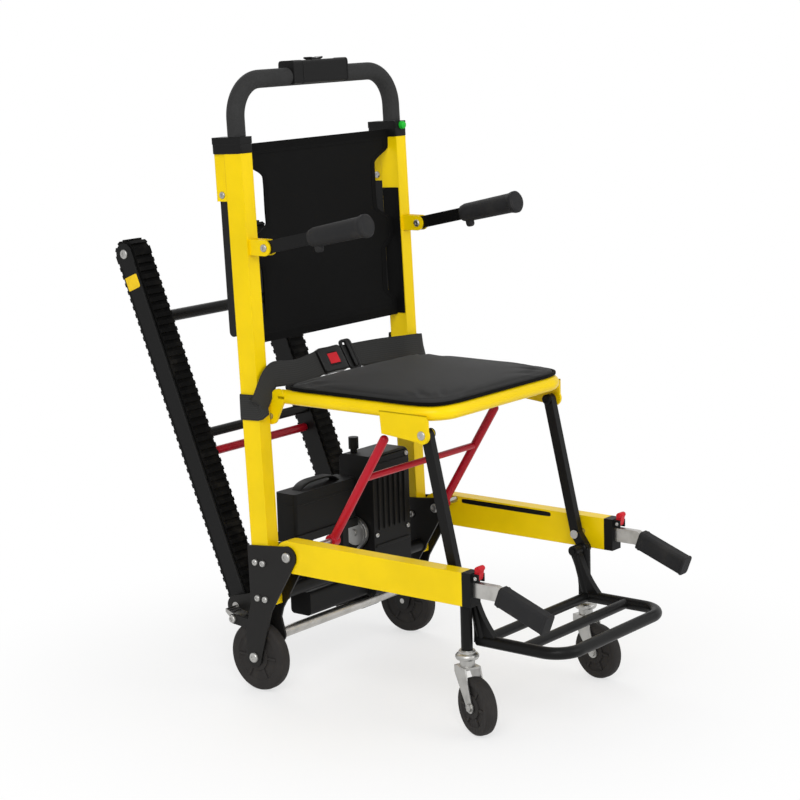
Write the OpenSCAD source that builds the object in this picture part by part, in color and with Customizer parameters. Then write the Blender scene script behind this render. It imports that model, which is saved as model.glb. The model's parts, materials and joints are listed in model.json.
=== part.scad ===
// Stair climbing wheelchair: a folding chair on four wheels with a pair of powered rubber tracks behind it.
// Millimetres. The floor is z = 0, the chair faces -Y and its left side is +X.

/* [Frame] */
// Width over the outside of the two side frames
frame_w = 456; // [436:1:480]
// Width of the posts and rails, side to side
tube_w = 28; // [27:0.5:30]
// Depth of a post, front to back
post_d = 40; // [38:0.5:44]
// Length of a post
post_len = 820; // [800:1:850]
// Lean of the posts to the rear, in degrees
post_lean = 2; // [1.5:0.1:2.5]
// Height of the foot of a post above the floor
post_foot_z = 165; // [160:1:172]
// Wall of the square tubes
wall = 2.5; // [1.5:0.1:3]
// Height of a side rail's section
rail_h = 58; // [54:1:60]
// Height of the rail pivots above the floor
rail_z = 262; // [256:1:270]
// Place of the rear rail pivot, front to back
rail_pivot_y = 61; // [56:1:66]
// Distance between the rear and the front pivots of the folding frame
link_len = 337; // [325:1:345]
// How far a rail reaches ahead of its front pivot
rail_reach = 45; // [40:1:50]
// Room between the round end of a rail and the post behind it
post_gap = 14; // [11:0.5:18]
// Rise from the rail pivots to the seat pivots
leg_rise = 243; // [235:1:250]
// Lean of the front legs, as the seat pivots' set-back from the rail pivots
leg_set = 55; // [50:1:60]

/* [Seat] */
// Diameter of the seat tube
seat_tube_d = 25; // [22:0.5:27]
// Height of the seat tube above the seat pivots
seat_tube_rise = 35; // [32:0.5:40]
// Radius of the seat tube's front corners
seat_bend = 48; // [42:1:60]
// Thickness of the cushion at its rim
cushion_rim = 9; // [7:0.5:11]
// Height of the crown of the cushion over its rim
cushion_crown = 13; // [9:0.5:15]
// Thickness of the back cloth
back_t = 8; // [6:0.5:9]
// Height of the lower edge of the back cloth above the floor
back_low_z = 632; // [628:1:650]

/* [Wheels] */
// Diameter of a rear wheel
rear_wheel_d = 127; // [124:1:132]
// Width of a rear wheel
rear_wheel_w = 24; // [20:0.5:25]
// Diameter of a front caster wheel
caster_d = 100; // [95:1:104]
// Width of a front caster wheel
caster_w = 24; // [20:0.5:26]
// Trail of a caster wheel from its swivel
caster_trail = 30; // [25:1:34]
// Diameter of the wheel axles
axle_d = 10; // [8:0.5:12]

/* [Tracks] */
// Distance between the two pulley shafts of a track
track_len = 682; // [660:1:700]
// Lean of the tracks to the rear, in degrees
track_tilt = 22; // [20:0.5:24]
// Distance from the inner face of a side frame to the middle of its track
track_set = 37; // [35:0.5:40]
// Width of a track belt
belt_w = 42; // [38:0.5:44]
// Thickness of a belt without its lugs
belt_t = 5; // [4:0.25:6]
// Height of the lugs on a belt
lug_h = 4; // [3:0.25:5]
// Pitch that the lugs come close to
lug_pitch = 15; // [13:0.5:18]
// Radius of the belt pulleys
pulley_r = 17; // [15:0.5:19]
// Height of the drive shaft above the floor
drive_z = 140; // [136:1:145]
// Place of the drive shaft, front to back
drive_y = 220; // [215:1:226]

/* [Handles] */
// Diameter of the push handle's tube
handle_d = 20; // [18:0.5:21]
// Diameter of the soft sleeve over the push handle
sleeve_d = 32; // [29:0.5:34]
// Radius of the push handle's bends
handle_bend = 65; // [55:1:75]
// Height of the push handle's bar above the posts, when it is pushed in
handle_rise = 108; // [104:1:120]
// Rise of the arms at rest, in degrees
arm_rise = 12; // [8:1:14]
// Length of an arm from its pivot
arm_len = 232; // [215:1:240]
// Diameter of an arm's grip
arm_grip_d = 36; // [32:1:38]
// Length of a lift handle's grip
lift_grip_len = 100; // [90:1:112]
// Slope of the lift grips, in degrees
lift_slope = 21; // [15:1:25]

/* [Hidden] */
$fn = 48;

// Clearances: side gap of moving parts, radial gap of a pin, gap of a soft piece
gap = 0.3;
fit = 0.08;
soft_gap = 0.4;
// Overshoot of a cut, so that it passes its faces
over = 1;
// Share of a round end's radius at which a link's straight sides run into it
link_inset = 0.999;

// Side planes and pivots of the folding frame, as [y, z]
half_w = frame_w / 2;
post_x = half_w - tube_w / 2;
inner_x = half_w - tube_w;
rail_rear = [rail_pivot_y, rail_z];
seat_rear = rail_rear + [leg_set, leg_rise];
rail_front = rail_rear - [link_len, 0];
seat_front = seat_rear - [link_len, 0];
rail_tip_y = rail_front[0] - rail_reach;
post_foot_y = rail_pivot_y + rail_h / 2 + post_gap + post_d / 2;
pin_d = 10;
plate_t = 4;

// Layers across the chair, from the inner face of the side frames inwards
tab_t = 5;
tab_x = inner_x - 3 - tab_t;
leg_w = 14;
leg_r = 9;
leg_gap = 5;
leg_x = tab_x - leg_gap - leg_w;
hang_gap = 4;
strut_d = 16;
strut_x = leg_x - hang_gap - strut_d / 2;

// Rear wheel and brake
wheel_y = post_foot_y + 25;
wheel_r = rear_wheel_d / 2;
brake_pin_d = 6;
brake_rise = 17;
brake_angle = 53;
brake_pivot = [wheel_y, wheel_r] + (wheel_r + brake_rise) * [cos(brake_angle), sin(brake_angle)];

// Cross members of the base, as [y, z]
cross_d = 25;
cross_at = [post_foot_y - 23, post_foot_z + 20];
bar_d = 20;
bar_at = [post_foot_y - 8, post_foot_z - 60];

// Casters: rest angles of the two swivels and the stem's place
right_swing = -22;
left_swing = -10;
stem_d = 20;
stem_x = leg_x + leg_w / 2;
stem_y = rail_front[0] - 17;
stem_low_z = caster_d + 42;
caster_cheek = 2.5;
caster_axle_d = 8;

// Footrest
foot_d = 21;
foot_bar_d = 18;
foot_x = leg_x - hang_gap - foot_d / 2;
foot_pivot = [stem_y + 5, rail_z - 25];
foot_rear = [rail_front[0] - 36, rail_z - 107];
foot_reach = 164;
foot_boss_d = pin_d + 9;
foot_corner = 45;

// Tracks
track_x = inner_x - track_set;
belt_inner = pulley_r + gap;
belt_outer = belt_inner + belt_t;
cheek_t = 3;
cheek_gap = 0.5;
cheek_in_x = track_x - belt_w / 2 - cheek_gap - cheek_t;
cheek_out_x = track_x + belt_w / 2 + cheek_gap;
shaft_d = 16;
idler_d = 12;
bearing_r = 20;
chain_x = 22;
chain_t = 8;
motor_at = [post_foot_y - 5, rail_z - 18];
sprocket_r = 24;
chain_h = 5;

// Battery and drive housing
battery_x = [-track_x + 13, 20];
battery_y = post_foot_y - 15;
battery_d = 48;
battery_z = rail_z + 2;
battery_h = 88;
port_r = 4;
port_deep = 12;
port_x = -100;
house_x = [chain_x + chain_t + 4, track_x - belt_w / 2];
house_y = post_foot_y - 45;
house_d = 80;
house_z = [post_foot_z - 43, rail_z + 128];
house_floor = cross_at[1] + cross_d / 2 + 5;
house_wall = 3;
belly_x = [-cheek_in_x + 5, house_x[0] + 12];
belly_at = [cross_at[0] + 19, house_z[0] + 24];
belly_d = 48;
belly_h = 44;
gear_at = [post_foot_y + 40, post_foot_z - 61];
gear_d = [52, 60];
gear_w = 40;
gear_step = 44;

// Handles
handle_z = post_len + handle_rise;
handle_in = 300;
cap_t = 12;
box_w = 145;
box_d = 36;
box_h = 41;
box_up = 7;
rocker_z = handle_z + box_up + box_h / 2 - 3;
arm_z = 807;
arm_pivot = [post_y(arm_z) - post_d / 2 - 34, arm_z];
arm_t = 12;
arm_pin_d = 8;
arm_bar_len = 106;
grip_z = post_len - 88;
grip_len = 250;
grip_t = 18;
grip_w = 16;
lift_bar_w = 12;
lift_bar_h = 25;
lift_grip_w = 25;
lift_grip_h = 34;
lift_out = 44;
lift_in = 150;
cap_d = 18;
lever_pin_d = 4;
lever_at = [rail_tip_y - cap_d - 7, rail_z + 21];

// Seat and back
seat_x = tab_x + tab_t - seat_tube_d / 2;
seat_z = seat_rear[1] + seat_tube_rise;
seat_back_y = seat_rear[0] - 18;
seat_nose = 26;
seat_front_y = seat_front[0] - seat_nose;
cushion_z = seat_z + seat_tube_d / 2 + soft_gap;
cushion_over = 3;
strap_w = 46;
strap_t = 2.4;
buckle = [64, 52, 16];
buckle_at = [-28, seat_back_y + 19, seat_z + 40];
buckle_lean = 60;
button_slot = [26, 20, 5];
button_stroke = 2;

// Place of a post's middle at a height above the floor
function post_y(z) = post_foot_y + (z - post_foot_z) * tan(post_lean);

// Helpers
module both() {
    children();
    mirror([1, 0, 0]) children();
}

module on_post() {
    translate([0, post_foot_y, post_foot_z]) rotate([-post_lean, 0, 0]) children();
}

module on_track() {
    translate([0, drive_y, drive_z]) rotate([-track_tilt, 0, 0]) children();
}

// A flat outline in the side view, thickened along X
module side_plate(x, t) {
    translate([x, 0, 0]) rotate([90, 0, 90]) linear_extrude(t) children();
}

module rod_x(x0, x1, at, d) {
    translate([x0, at[0], at[1]]) rotate([0, 90, 0]) cylinder(h = x1 - x0, d = d);
}

module rod(p, q, d) {
    v = q - p;
    turn = atan2(v[1], v[0]);
    tip = acos(v[2] / norm(v));
    translate(p) rotate([0, tip, turn]) cylinder(h = norm(v), d = d);
}

module ball(p, d) {
    translate(p) sphere(d = d);
}

// A bar with round ends between two points of a plane
module link_2d(p, q, r) {
    v = (q - p) / norm(q - p);
    side = [-v[1], v[0]] * r * link_inset;
    union() {
        translate(p) circle(r = r);
        translate(q) circle(r = r);
        polygon([p + side, q + side, q - side, p - side]);
    }
}

// The same bar, thickened along X
module link_plate(x, t, p, q, r) {
    v = (q - p) / norm(q - p);
    side = [-v[1], v[0]] * r * link_inset;
    rod_x(x, x + t, p, 2 * r);
    rod_x(x, x + t, q, 2 * r);
    side_plate(x, t) polygon([p + side, q + side, q - side, p - side]);
}

// A rectangle with round corners, from its middle
module round_rect(w, h, r) {
    square([w - 2 * r, h], center = true);
    square([w, h - 2 * r], center = true);
    for (i = [-1, 1], j = [-1, 1]) translate([i * (w / 2 - r), j * (h / 2 - r)]) circle(r = r);
}

// Side frames
module back_posts() {
    color("gold") both() on_post() translate([inner_x, -post_d / 2, 0]) difference() {
        cube([tube_w, post_d, post_len]);
        translate([wall, wall, -over])
            cube([tube_w - 2 * wall, post_d - 2 * wall, post_len + 2 * over]);
    }
}

module post_caps() {
    reach = post_d / 2 + 26;
    color("black") both() on_post() difference() {
        translate([inner_x - 1, -post_d / 2 - 1, post_len]) cube([tube_w + 2, post_d / 2 + 1 + reach, cap_t]);
        translate([post_x, 0, post_len - over]) cylinder(h = cap_t + 2 * over, d = handle_d + 2 * gap);
    }
}

module bracket_2d() {
    post_back = post_foot_y + post_d / 2;
    fork_r = 17;
    translate(rail_rear) circle(r = 20);
    translate([wheel_y, wheel_r]) circle(r = fork_r);
    polygon([rail_rear + [-4, 19.6], [post_back + 10, rail_z + 10], [post_back + 8, post_foot_z],
        [wheel_y + fork_r, wheel_r + 50], [wheel_y + fork_r, wheel_r], [wheel_y - fork_r, wheel_r],
        [post_foot_y - post_d / 2, post_foot_z - 10], rail_rear + [-16, -12]]);
    link_2d([wheel_y, wheel_r + 60], brake_pivot, 9);
}

module inner_bracket_2d() {
    bracket_2d();
    link_2d([post_foot_y, post_foot_z], [drive_y, drive_z], bearing_r);
    link_2d([post_foot_y, post_foot_z - 30], bar_at, bar_d / 2 + 5);
    link_2d([post_foot_y, post_foot_z + 20], cross_at, cross_d / 2 + 3);
}

module bracket_holes(d_gap) {
    rod_x(inner_x - 2 * plate_t, half_w + 2 * plate_t, rail_rear, pin_d + d_gap);
    rod_x(inner_x - 2 * plate_t, half_w + 2 * plate_t, [wheel_y, wheel_r], axle_d + d_gap);
    rod_x(inner_x - 2 * plate_t, half_w + 2 * plate_t, brake_pivot, brake_pin_d + d_gap);
}

module wheel_brackets() {
    color("dimgray") both() difference() {
        union() {
            side_plate(half_w, plate_t) bracket_2d();
            side_plate(inner_x - plate_t, plate_t) inner_bracket_2d();
        }
        bracket_holes(0);
        rod_x(inner_x - 2 * plate_t, inner_x + plate_t, [drive_y, drive_z], shaft_d + 2 * fit);
    }
}

// Bolt heads that hold the outer plates to the posts
module bracket_bolts() {
    color("silver") both() for (dy = [-9, 9], dz = [12, 78])
        rod_x(half_w + plate_t, half_w + plate_t + 4, [post_y(post_foot_z + dz) + dy, post_foot_z + dz], 9);
}

// Pins of the rail pivots, seat pivots, rear wheels and brakes
module frame_pins() {
    head = 4;
    color("silver") both() {
        for (pin = [[rail_rear, pin_d], [[wheel_y, wheel_r], axle_d], [brake_pivot, brake_pin_d]]) {
            rod_x(inner_x - plate_t, half_w + plate_t, pin[0], pin[1]);
            rod_x(half_w + plate_t, half_w + plate_t + head, pin[0], pin[1] + 6);
        }
        rod_x(tab_x - 1, inner_x, seat_rear, pin_d);
        rod_x(tab_x - 3, tab_x - 1, seat_rear, pin_d + 6);
    }
}

module cross_tube() {
    color("black") rod_x(-inner_x + plate_t, inner_x - plate_t, cross_at, cross_d);
}

module rear_bar() {
    color("silver") rod_x(-inner_x + plate_t, inner_x - plate_t, bar_at, bar_d);
}

// Back cloth, hung between the posts, with a waist beside the arms
module back_cloth() {
    edge = inner_x - soft_gap;
    waist = inner_x - 42;
    slit = 26;
    low = (back_low_z - post_foot_z) / cos(post_lean);
    top = post_len;
    turn = 18;
    slit_z = [low + 30, low + 150];
    waist_z = [top - 164, top - 42];
    side = [[edge, low], [edge, slit_z[0]], [edge - slit, slit_z[0] + turn], [edge - slit, slit_z[1] - turn],
        [edge, slit_z[1]], [edge, waist_z[0]], [waist, waist_z[0] + turn], [waist - 4, top - 100],
        [waist, waist_z[1] - turn], [edge, waist_z[1]], [edge, top]];
    far_side = [for (i = [len(side) - 1:-1:0]) [-side[i][0], side[i][1]]];
    color("black") on_post() translate([0, back_t / 2, 0]) rotate([90, 0, 0]) linear_extrude(back_t)
        polygon(concat(side, far_side));
}

// Yokes behind the posts that carry the folding rear handles
module rear_handle_brackets() {
    cheek = 3;
    rear = post_d / 2;
    color("gold") both() on_post() difference() {
        for (x = [post_x - grip_w / 2 - gap - cheek, post_x + grip_w / 2 + gap])
            translate([x, rear, grip_z - 11]) cube([cheek, 26, 99]);
        translate([post_x, rear + 13, grip_z]) rotate([0, 90, 0])
            cylinder(h = tube_w + 2 * over, d = arm_pin_d, center = true);
    }
    color("gold") both() on_post() translate([post_x - grip_w / 2 - gap, rear, grip_z + 20])
        cube([grip_w + 2 * gap, 26, 68]);
    color("silver") both() on_post() translate([post_x, rear + 13, grip_z]) rotate([0, 90, 0])
        cylinder(h = grip_w + 2 * gap + 2 * cheek, d = arm_pin_d, center = true);
}

// Clevises on the fronts of the posts for the arms
module arm_brackets() {
    cheek = 3;
    eye_r = 14;
    stop = [post_y(arm_z) - post_d / 2, arm_z];
    color("gold") both() difference() {
        for (x = [post_x - arm_t / 2 - gap - cheek, post_x + arm_t / 2 + gap])
            side_plate(x, cheek) {
                translate(arm_pivot) circle(r = eye_r);
                polygon([arm_pivot + [0, eye_r], stop + eye_r * [tan(post_lean), 1],
                    stop - eye_r * [tan(post_lean), 1], arm_pivot - [0, eye_r]]);
            }
        rod_x(post_x - tube_w, post_x + tube_w, arm_pivot, arm_pin_d);
    }
    color("silver") both() rod_x(post_x - arm_t / 2 - gap - cheek, post_x + arm_t / 2 + gap + cheek,
        arm_pivot, arm_pin_d);
}

// Seat belt: one webbing strip swept along hand-laid points, with its width's direction at each
post_strap_y = post_y(rail_z + 260);
loop_gap = 1.5;
loop_x = tube_w / 2 + loop_gap + strap_t / 2;
loop_y = post_d / 2 + loop_gap + strap_t / 2;
loop_in = post_x - loop_x;
loop_out = post_x + loop_x;
loop_front = post_strap_y - loop_y;
loop_rear = post_strap_y + loop_y;
belt_y = buckle_at[1];
belt_z = buckle_at[2];
right_z = seat_z + 6;
left_z = seat_z + 44;
strap_up = [0, 0, 1];
strap_half = [0, 0.3, 0.95];
strap_lean = [0, cos(buckle_lean), sin(buckle_lean)];
belt_path = [
    [[-loop_in, loop_rear, right_z], strap_up],
    [[-loop_out, loop_rear, right_z], strap_up],
    [[-loop_out, loop_front, right_z + 2], strap_up],
    [[-loop_in, loop_front - 2, right_z + 40], strap_up],
    [[-loop_in * 0.84, belt_y - 4, belt_z], strap_half],
    [[-loop_in * 0.56, belt_y, belt_z - 6], strap_lean],
    [buckle_at, strap_lean],
    [[loop_in * 0.25, belt_y, belt_z + 3], strap_lean],
    [[loop_in * 0.6, belt_y - 1, belt_z + 4], strap_half],
    [[loop_in * 0.85, belt_y - 4, belt_z + 5], strap_up],
    [[loop_in, loop_front, left_z], strap_up],
    [[loop_out, loop_front + 1, left_z], strap_up],
    [[loop_out, loop_rear + 3, left_z], strap_up],
    [[loop_in, loop_rear + 3, left_z], strap_up]];

// Corners of the strip at one point of its path
function strip_ring(path, i) =
    let (last = len(path) - 1)
    let (run = path[min(i + 1, last)][0] - path[max(i - 1, 0)][0])
    let (wide = path[i][1] / norm(path[i][1]) * strap_w / 2)
    let (face = cross(run, wide))
    let (deep = face / norm(face) * strap_t / 2)
    [for (s = [[1, 1], [1, -1], [-1, -1], [-1, 1]]) path[i][0] + s[0] * wide + s[1] * deep];

module strip(path) {
    rings = len(path);
    points = [for (i = [0:rings - 1]) each strip_ring(path, i)];
    walls = [for (i = [0:rings - 2], j = [0:3])
        let (a = 4 * i + j, b = 4 * i + (j + 1) % 4)
        each [[a, b, b + 4], [a, b + 4, a + 4]]];
    last = 4 * rings - 4;
    ends = [[0, 2, 1], [0, 3, 2], [last, last + 1, last + 2], [last, last + 2, last + 3]];
    polyhedron(points = points, faces = concat(walls, ends));
}

module on_buckle() {
    translate(buckle_at) rotate([buckle_lean, 0, 0]) children();
}

module seat_belt() {
    color("dimgray") difference() {
        strip(belt_path);
        on_buckle() cube([buckle[0] + gap, 3 * strap_w, 3 * strap_w], center = true);
    }
}

module belt_buckle() {
    color("black") on_buckle() difference() {
        cube(buckle, center = true);
        translate([0, 0, buckle[2] / 2 - button_slot[2] / 2 + over / 2])
            cube(button_slot + [2 * gap, 2 * gap, over], center = true);
    }
}

module buckle_button() {
    top = buckle[2] / 2 + 1;
    low = buckle[2] / 2 - button_slot[2] + button_stroke + gap;
    color("red") on_buckle() translate([0, 0, (top + low) / 2])
        cube([button_slot[0], button_slot[1], top - low], center = true);
}

// Drive and battery, carried on the cross tube
module battery_tray() {
    sheet = 3;
    lip = 12;
    w = battery_x[1] - battery_x[0];
    floor_z = battery_z - sheet - gap;
    color("black") difference() {
        union() {
            translate([battery_x[0], battery_y - gap - sheet, floor_z])
                cube([w, battery_d + 2 * (gap + sheet), sheet]);
            for (y = [battery_y - gap - sheet, battery_y + battery_d + gap])
                translate([battery_x[0], y, floor_z]) cube([w, sheet, sheet + lip]);
            for (x = [battery_x[0] + 25, battery_x[1] - 45])
                translate([x, battery_y - gap - sheet, cross_at[1]]) cube([16, 34, floor_z - cross_at[1]]);
        }
        rod_x(battery_x[0] - over, battery_x[1] + over, cross_at, cross_d);
    }
}

module battery_pack() {
    w = battery_x[1] - battery_x[0];
    mid_x = (battery_x[0] + battery_x[1]) / 2;
    color("black") translate([mid_x, battery_y + battery_d / 2, battery_z]) difference() {
        linear_extrude(battery_h) round_rect(w, battery_d, 6);
        translate([port_x - mid_x, battery_d / 2 - port_deep, battery_h / 2])
            rotate([-90, 0, 0]) cylinder(h = port_deep + over, r = port_r);
    }
}

module drive_housing() {
    w = house_x[1] - house_x[0];
    color("black") difference() {
        union() {
            translate([house_x[0], house_y + house_d / 2, (house_z[0] + house_z[1]) / 2])
                rotate([90, 0, 90]) linear_extrude(w) round_rect(house_d, house_z[1] - house_z[0], 12);
            translate([belly_x[0], belly_at[0], belly_at[1]]) rotate([90, 0, 90])
                linear_extrude(belly_x[1] - belly_x[0]) round_rect(belly_d, belly_h, 8);
            for (i = [0, 1]) translate([house_x[0] + 4 + i * gear_step, 0, 0])
                rod_x(0, gear_w, gear_at, gear_d[i]);
        }
        translate([house_x[0] + house_wall, house_y + house_wall, house_floor])
            cube([w - 2 * house_wall, house_d - 2 * house_wall, house_z[1] - house_floor - house_wall]);
        rod_x(house_x[0] - over, house_x[1] + over, cross_at, cross_d);
        rod_x(house_x[0] - over, house_x[0] + house_wall + over, motor_at, idler_d + 2);
    }
}

module motor() {
    motor_r = house_d / 2 - house_wall - 1;
    color("dimgray") {
        rod_x(house_x[0] + house_wall, house_x[1] - house_wall, motor_at, 2 * motor_r);
        rod_x(chain_x - 2, house_x[0] + house_wall, motor_at, idler_d);
    }
}

module drive_chain() {
    inner = sprocket_r + gap;
    color("dimgray") difference() {
        union() link_plate(chain_x, chain_t, motor_at, [drive_y, drive_z], inner + chain_h);
        link_plate(chain_x - over, chain_t + 2 * over, motor_at, [drive_y, drive_z], inner);
    }
}

module motor_sprocket() {
    color("silver") difference() {
        rod_x(chain_x, chain_x + chain_t, motor_at, 2 * sprocket_r);
        rod_x(chain_x - over, chain_x + chain_t + over, motor_at, idler_d + 2 * fit);
    }
}

module drive_knob() {
    stem = 6;
    color("black") translate([house_x[0] + 22, house_y + house_d - 18, house_z[1] + gap]) {
        cylinder(h = stem, d = 13);
        translate([0, 0, stem]) cylinder(h = 22, d = 19);
    }
}

// Push handle, which slides in the posts
module handle_path(d, low) {
    both() on_post() {
        translate([post_x, 0, low]) cylinder(h = handle_z - handle_bend - low, d = d);
        translate([post_x - handle_bend, 0, handle_z - handle_bend]) rotate([90, 0, 0])
            rotate_extrude(angle = 90) translate([handle_bend, 0]) circle(d = d);
        translate([0, 0, handle_z]) rotate([0, 90, 0]) cylinder(h = post_x - handle_bend, d = d);
    }
}

module push_handle() {
    color("silver") handle_path(handle_d, post_len - handle_in);
}

module handle_sleeve() {
    color("dimgray") difference() {
        handle_path(sleeve_d, post_len + cap_t + gap);
        handle_path(handle_d, post_len - handle_in);
    }
}

module control_box() {
    color("black") on_post() difference() {
        translate([-box_w / 2, 0, handle_z + box_up]) rotate([90, 0, 90]) linear_extrude(box_w)
            round_rect(box_d, box_h, 6);
        translate([-box_w / 2 - over, 0, handle_z]) rotate([0, 90, 0])
            cylinder(h = box_w + 2 * over, d = sleeve_d);
        translate([0, 0, rocker_z + 3]) cube([34 + 2 * gap, 18 + 2 * gap, 11], center = true);
    }
}

module direction_rocker() {
    pivot_d = 4;
    color("dimgray") on_post() translate([0, 0, rocker_z + 4]) rotate([90, 0, 0]) union() {
        linear_extrude(18, center = true) polygon([[-16, 4], [-16, 1], [0, -4], [16, 1], [16, 4], [0, 1.5]]);
        translate([0, -4, 0]) cylinder(h = 18, d = pivot_d, center = true);
    }
}

// Tracks: the loops lie in the side view of the leaning track frame
module loop_2d(r) {
    link_2d([0, 0], [0, track_len], r);
}

lugs_run = round(track_len / lug_pitch);
lugs_end = round(PI * belt_outer / lug_pitch);

module track_belts() {
    step = track_len / lugs_run;
    root = belt_outer - 1;
    lug_out = lug_h + 1;
    color("black") both() on_track() side_plate(track_x - belt_w / 2, belt_w) difference() {
        union() {
            loop_2d(belt_outer);
            for (i = [0:lugs_run - 1], s = [-1, 1])
                translate([s * (root + lug_out / 2), (i + 0.5) * step])
                    square([lug_out, step / 2], center = true);
            for (end = [0, 1], i = [0:lugs_end])
                translate([0, end * track_len]) rotate(180 * (i / lugs_end + 1 - end))
                    translate([root + lug_out / 2, 0]) square([lug_out, step / 2], center = true);
        }
        loop_2d(belt_inner);
    }
}

module track_frames() {
    bed = 60;
    color("black") both() on_track() difference() {
        union() {
            for (x = [cheek_in_x, cheek_out_x]) side_plate(x, cheek_t) loop_2d(belt_outer - 2);
            side_plate(cheek_in_x + cheek_t, belt_w + 2 * cheek_gap) translate([0, track_len / 2])
                square([2 * (belt_inner - gap), track_len - 2 * bed], center = true);
        }
        rod_x(cheek_in_x - over, cheek_out_x + cheek_t + over, [0, 0], shaft_d + 2 * fit);
        rod_x(cheek_in_x - over, cheek_out_x + cheek_t + over, [0, track_len], idler_d + 2 * fit);
    }
}

module track_crossbars() {
    color("black") on_track() {
        rod_x(-cheek_in_x, cheek_in_x, [0, track_len * 0.81], 22);
        rod_x(-cheek_in_x, cheek_in_x, [-10, track_len * 0.47], 18);
    }
}

// Red bar that unlocks the tracks
module track_release_bar() {
    color("firebrick") on_track() rod_x(-cheek_in_x, cheek_in_x, [8, track_len * 0.42], 16);
}

module drive_shaft() {
    color("silver") {
        rod_x(-inner_x, inner_x, [drive_y, drive_z], shaft_d);
        rod_x(chain_x, chain_x + chain_t, [drive_y, drive_z], 2 * sprocket_r);
    }
}

module drive_pulleys() {
    at = [drive_y, drive_z];
    color("dimgray") both() difference() {
        rod_x(track_x - belt_w / 2, track_x + belt_w / 2, at, 2 * pulley_r);
        rod_x(track_x - belt_w, track_x + belt_w, at, shaft_d);
    }
}

// Upper pulleys, each in one piece with its axle
module idler_pulleys() {
    at = [0, track_len];
    color("dimgray") both() on_track() {
        rod_x(track_x - belt_w / 2, track_x + belt_w / 2, at, 2 * pulley_r);
        rod_x(cheek_in_x, cheek_out_x + cheek_t, at, idler_d);
    }
}

// Wheels
module wheel(d, w, bore) {
    tread = w / 2;
    hub = d * 0.2;
    color("dimgray") rotate([0, 90, 0]) rotate_extrude($fn = 96) polygon([[bore / 2, -tread], [hub, -tread],
        [hub, -tread + 3], [d * 0.34, -tread + 3], [d * 0.36, -tread + 1], [d / 2 - 4, -tread + 1],
        [d / 2 - 1, -tread + 4], [d / 2, -tread + 8], [d / 2, tread - 8], [d / 2 - 1, tread - 4],
        [d / 2 - 4, tread - 1], [d * 0.36, tread - 1], [d * 0.34, tread - 3], [hub, tread - 3],
        [hub, tread], [bore / 2, tread]]);
}

module rear_wheel(side) {
    translate([side * post_x, wheel_y, wheel_r]) wheel(rear_wheel_d, rear_wheel_w, axle_d + 2 * fit);
}

module right_rear_wheel() {
    rear_wheel(-1);
}

module left_rear_wheel() {
    rear_wheel(1);
}

// Foot brake: a treadle over the back of a rear wheel
module brake_pedal(side) {
    w = tube_w - 2 * gap;
    tip = brake_pivot + [22, 12];
    color("silver") translate([side * post_x, 0, 0]) difference() {
        union() {
            rod_x(-w / 2, w / 2, brake_pivot, 18);
            side_plate(-w / 2, w)
                polygon([brake_pivot + [0, 7], tip + [0, 3], tip - [0, 3], brake_pivot + [4, -6]]);
        }
        rod_x(-w, w, brake_pivot, brake_pin_d + 2 * fit);
    }
}

module right_brake_pedal() {
    brake_pedal(-1);
}

module left_brake_pedal() {
    brake_pedal(1);
}

// Seat frame: two side tubes bent into a front bar, and a rear bar
module seat_frame() {
    corner = [seat_x - seat_bend, seat_front_y + seat_bend];
    color("gold") {
        both() {
            rod([seat_x, corner[1], seat_z], [seat_x, seat_back_y, seat_z], seat_tube_d);
            translate([corner[0], corner[1], seat_z]) rotate([0, 0, -90])
                rotate_extrude(angle = 90) translate([seat_bend, 0]) circle(d = seat_tube_d);
        }
        rod_x(-corner[0], corner[0], [seat_front_y, seat_z], seat_tube_d);
        rod_x(-seat_x, seat_x, [seat_back_y - seat_tube_d, seat_z], seat_tube_d - 3);
    }
}

// Plates under the seat tube for the seat pivots and the front legs
module seat_brackets() {
    tab_long = 90;
    color("gold") both() {
        difference() {
            union() {
                rod_x(leg_x - 1, tab_x + tab_t, seat_front, pin_d);
                rod_x(leg_x - 3, leg_x - 1, seat_front, pin_d + 6);
                link_plate(tab_x, tab_t, seat_rear, [seat_back_y, seat_z], 15);
                rod_x(tab_x, tab_x + tab_t, seat_front, 30);
                side_plate(tab_x, tab_t) polygon([seat_front + [-13, 4], [seat_front[0] - 13, seat_z],
                    [seat_front[0] + tab_long, seat_z], seat_front + [tab_long - 4, -5],
                    seat_front + [2, -13]]);
            }
            rod_x(tab_x - over, tab_x + tab_t + over, seat_rear, pin_d + 2 * fit);
            both() rod([seat_x, seat_front_y, seat_z], [seat_x, seat_back_y, seat_z], seat_tube_d);
        }
    }
}

// Cushion: a crowned pad on the seat tubes, its rim drawn in between pulled-out corners
cushion_n = 16;
cushion_x = seat_x + cushion_over;
cushion_y = [seat_front_y + 2, seat_back_y - 4];
function draw_in(t) = 1 - 0.035 * sin(180 * t);
function bulge(t) = pow(max(0, sin(180 * t)), 0.6);
function cushion_point(i, j, top) =
    let (u = i / cushion_n, v = j / cushion_n)
    let (mid_y = (cushion_y[0] + cushion_y[1]) / 2, half_y = (cushion_y[1] - cushion_y[0]) / 2)
    let (crown = top ? cushion_rim + cushion_crown * bulge(u) * bulge(v) : 0)
    [cushion_x * (2 * u - 1) * draw_in(v), mid_y + half_y * (2 * v - 1) * draw_in(u), cushion_z + crown];

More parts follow.
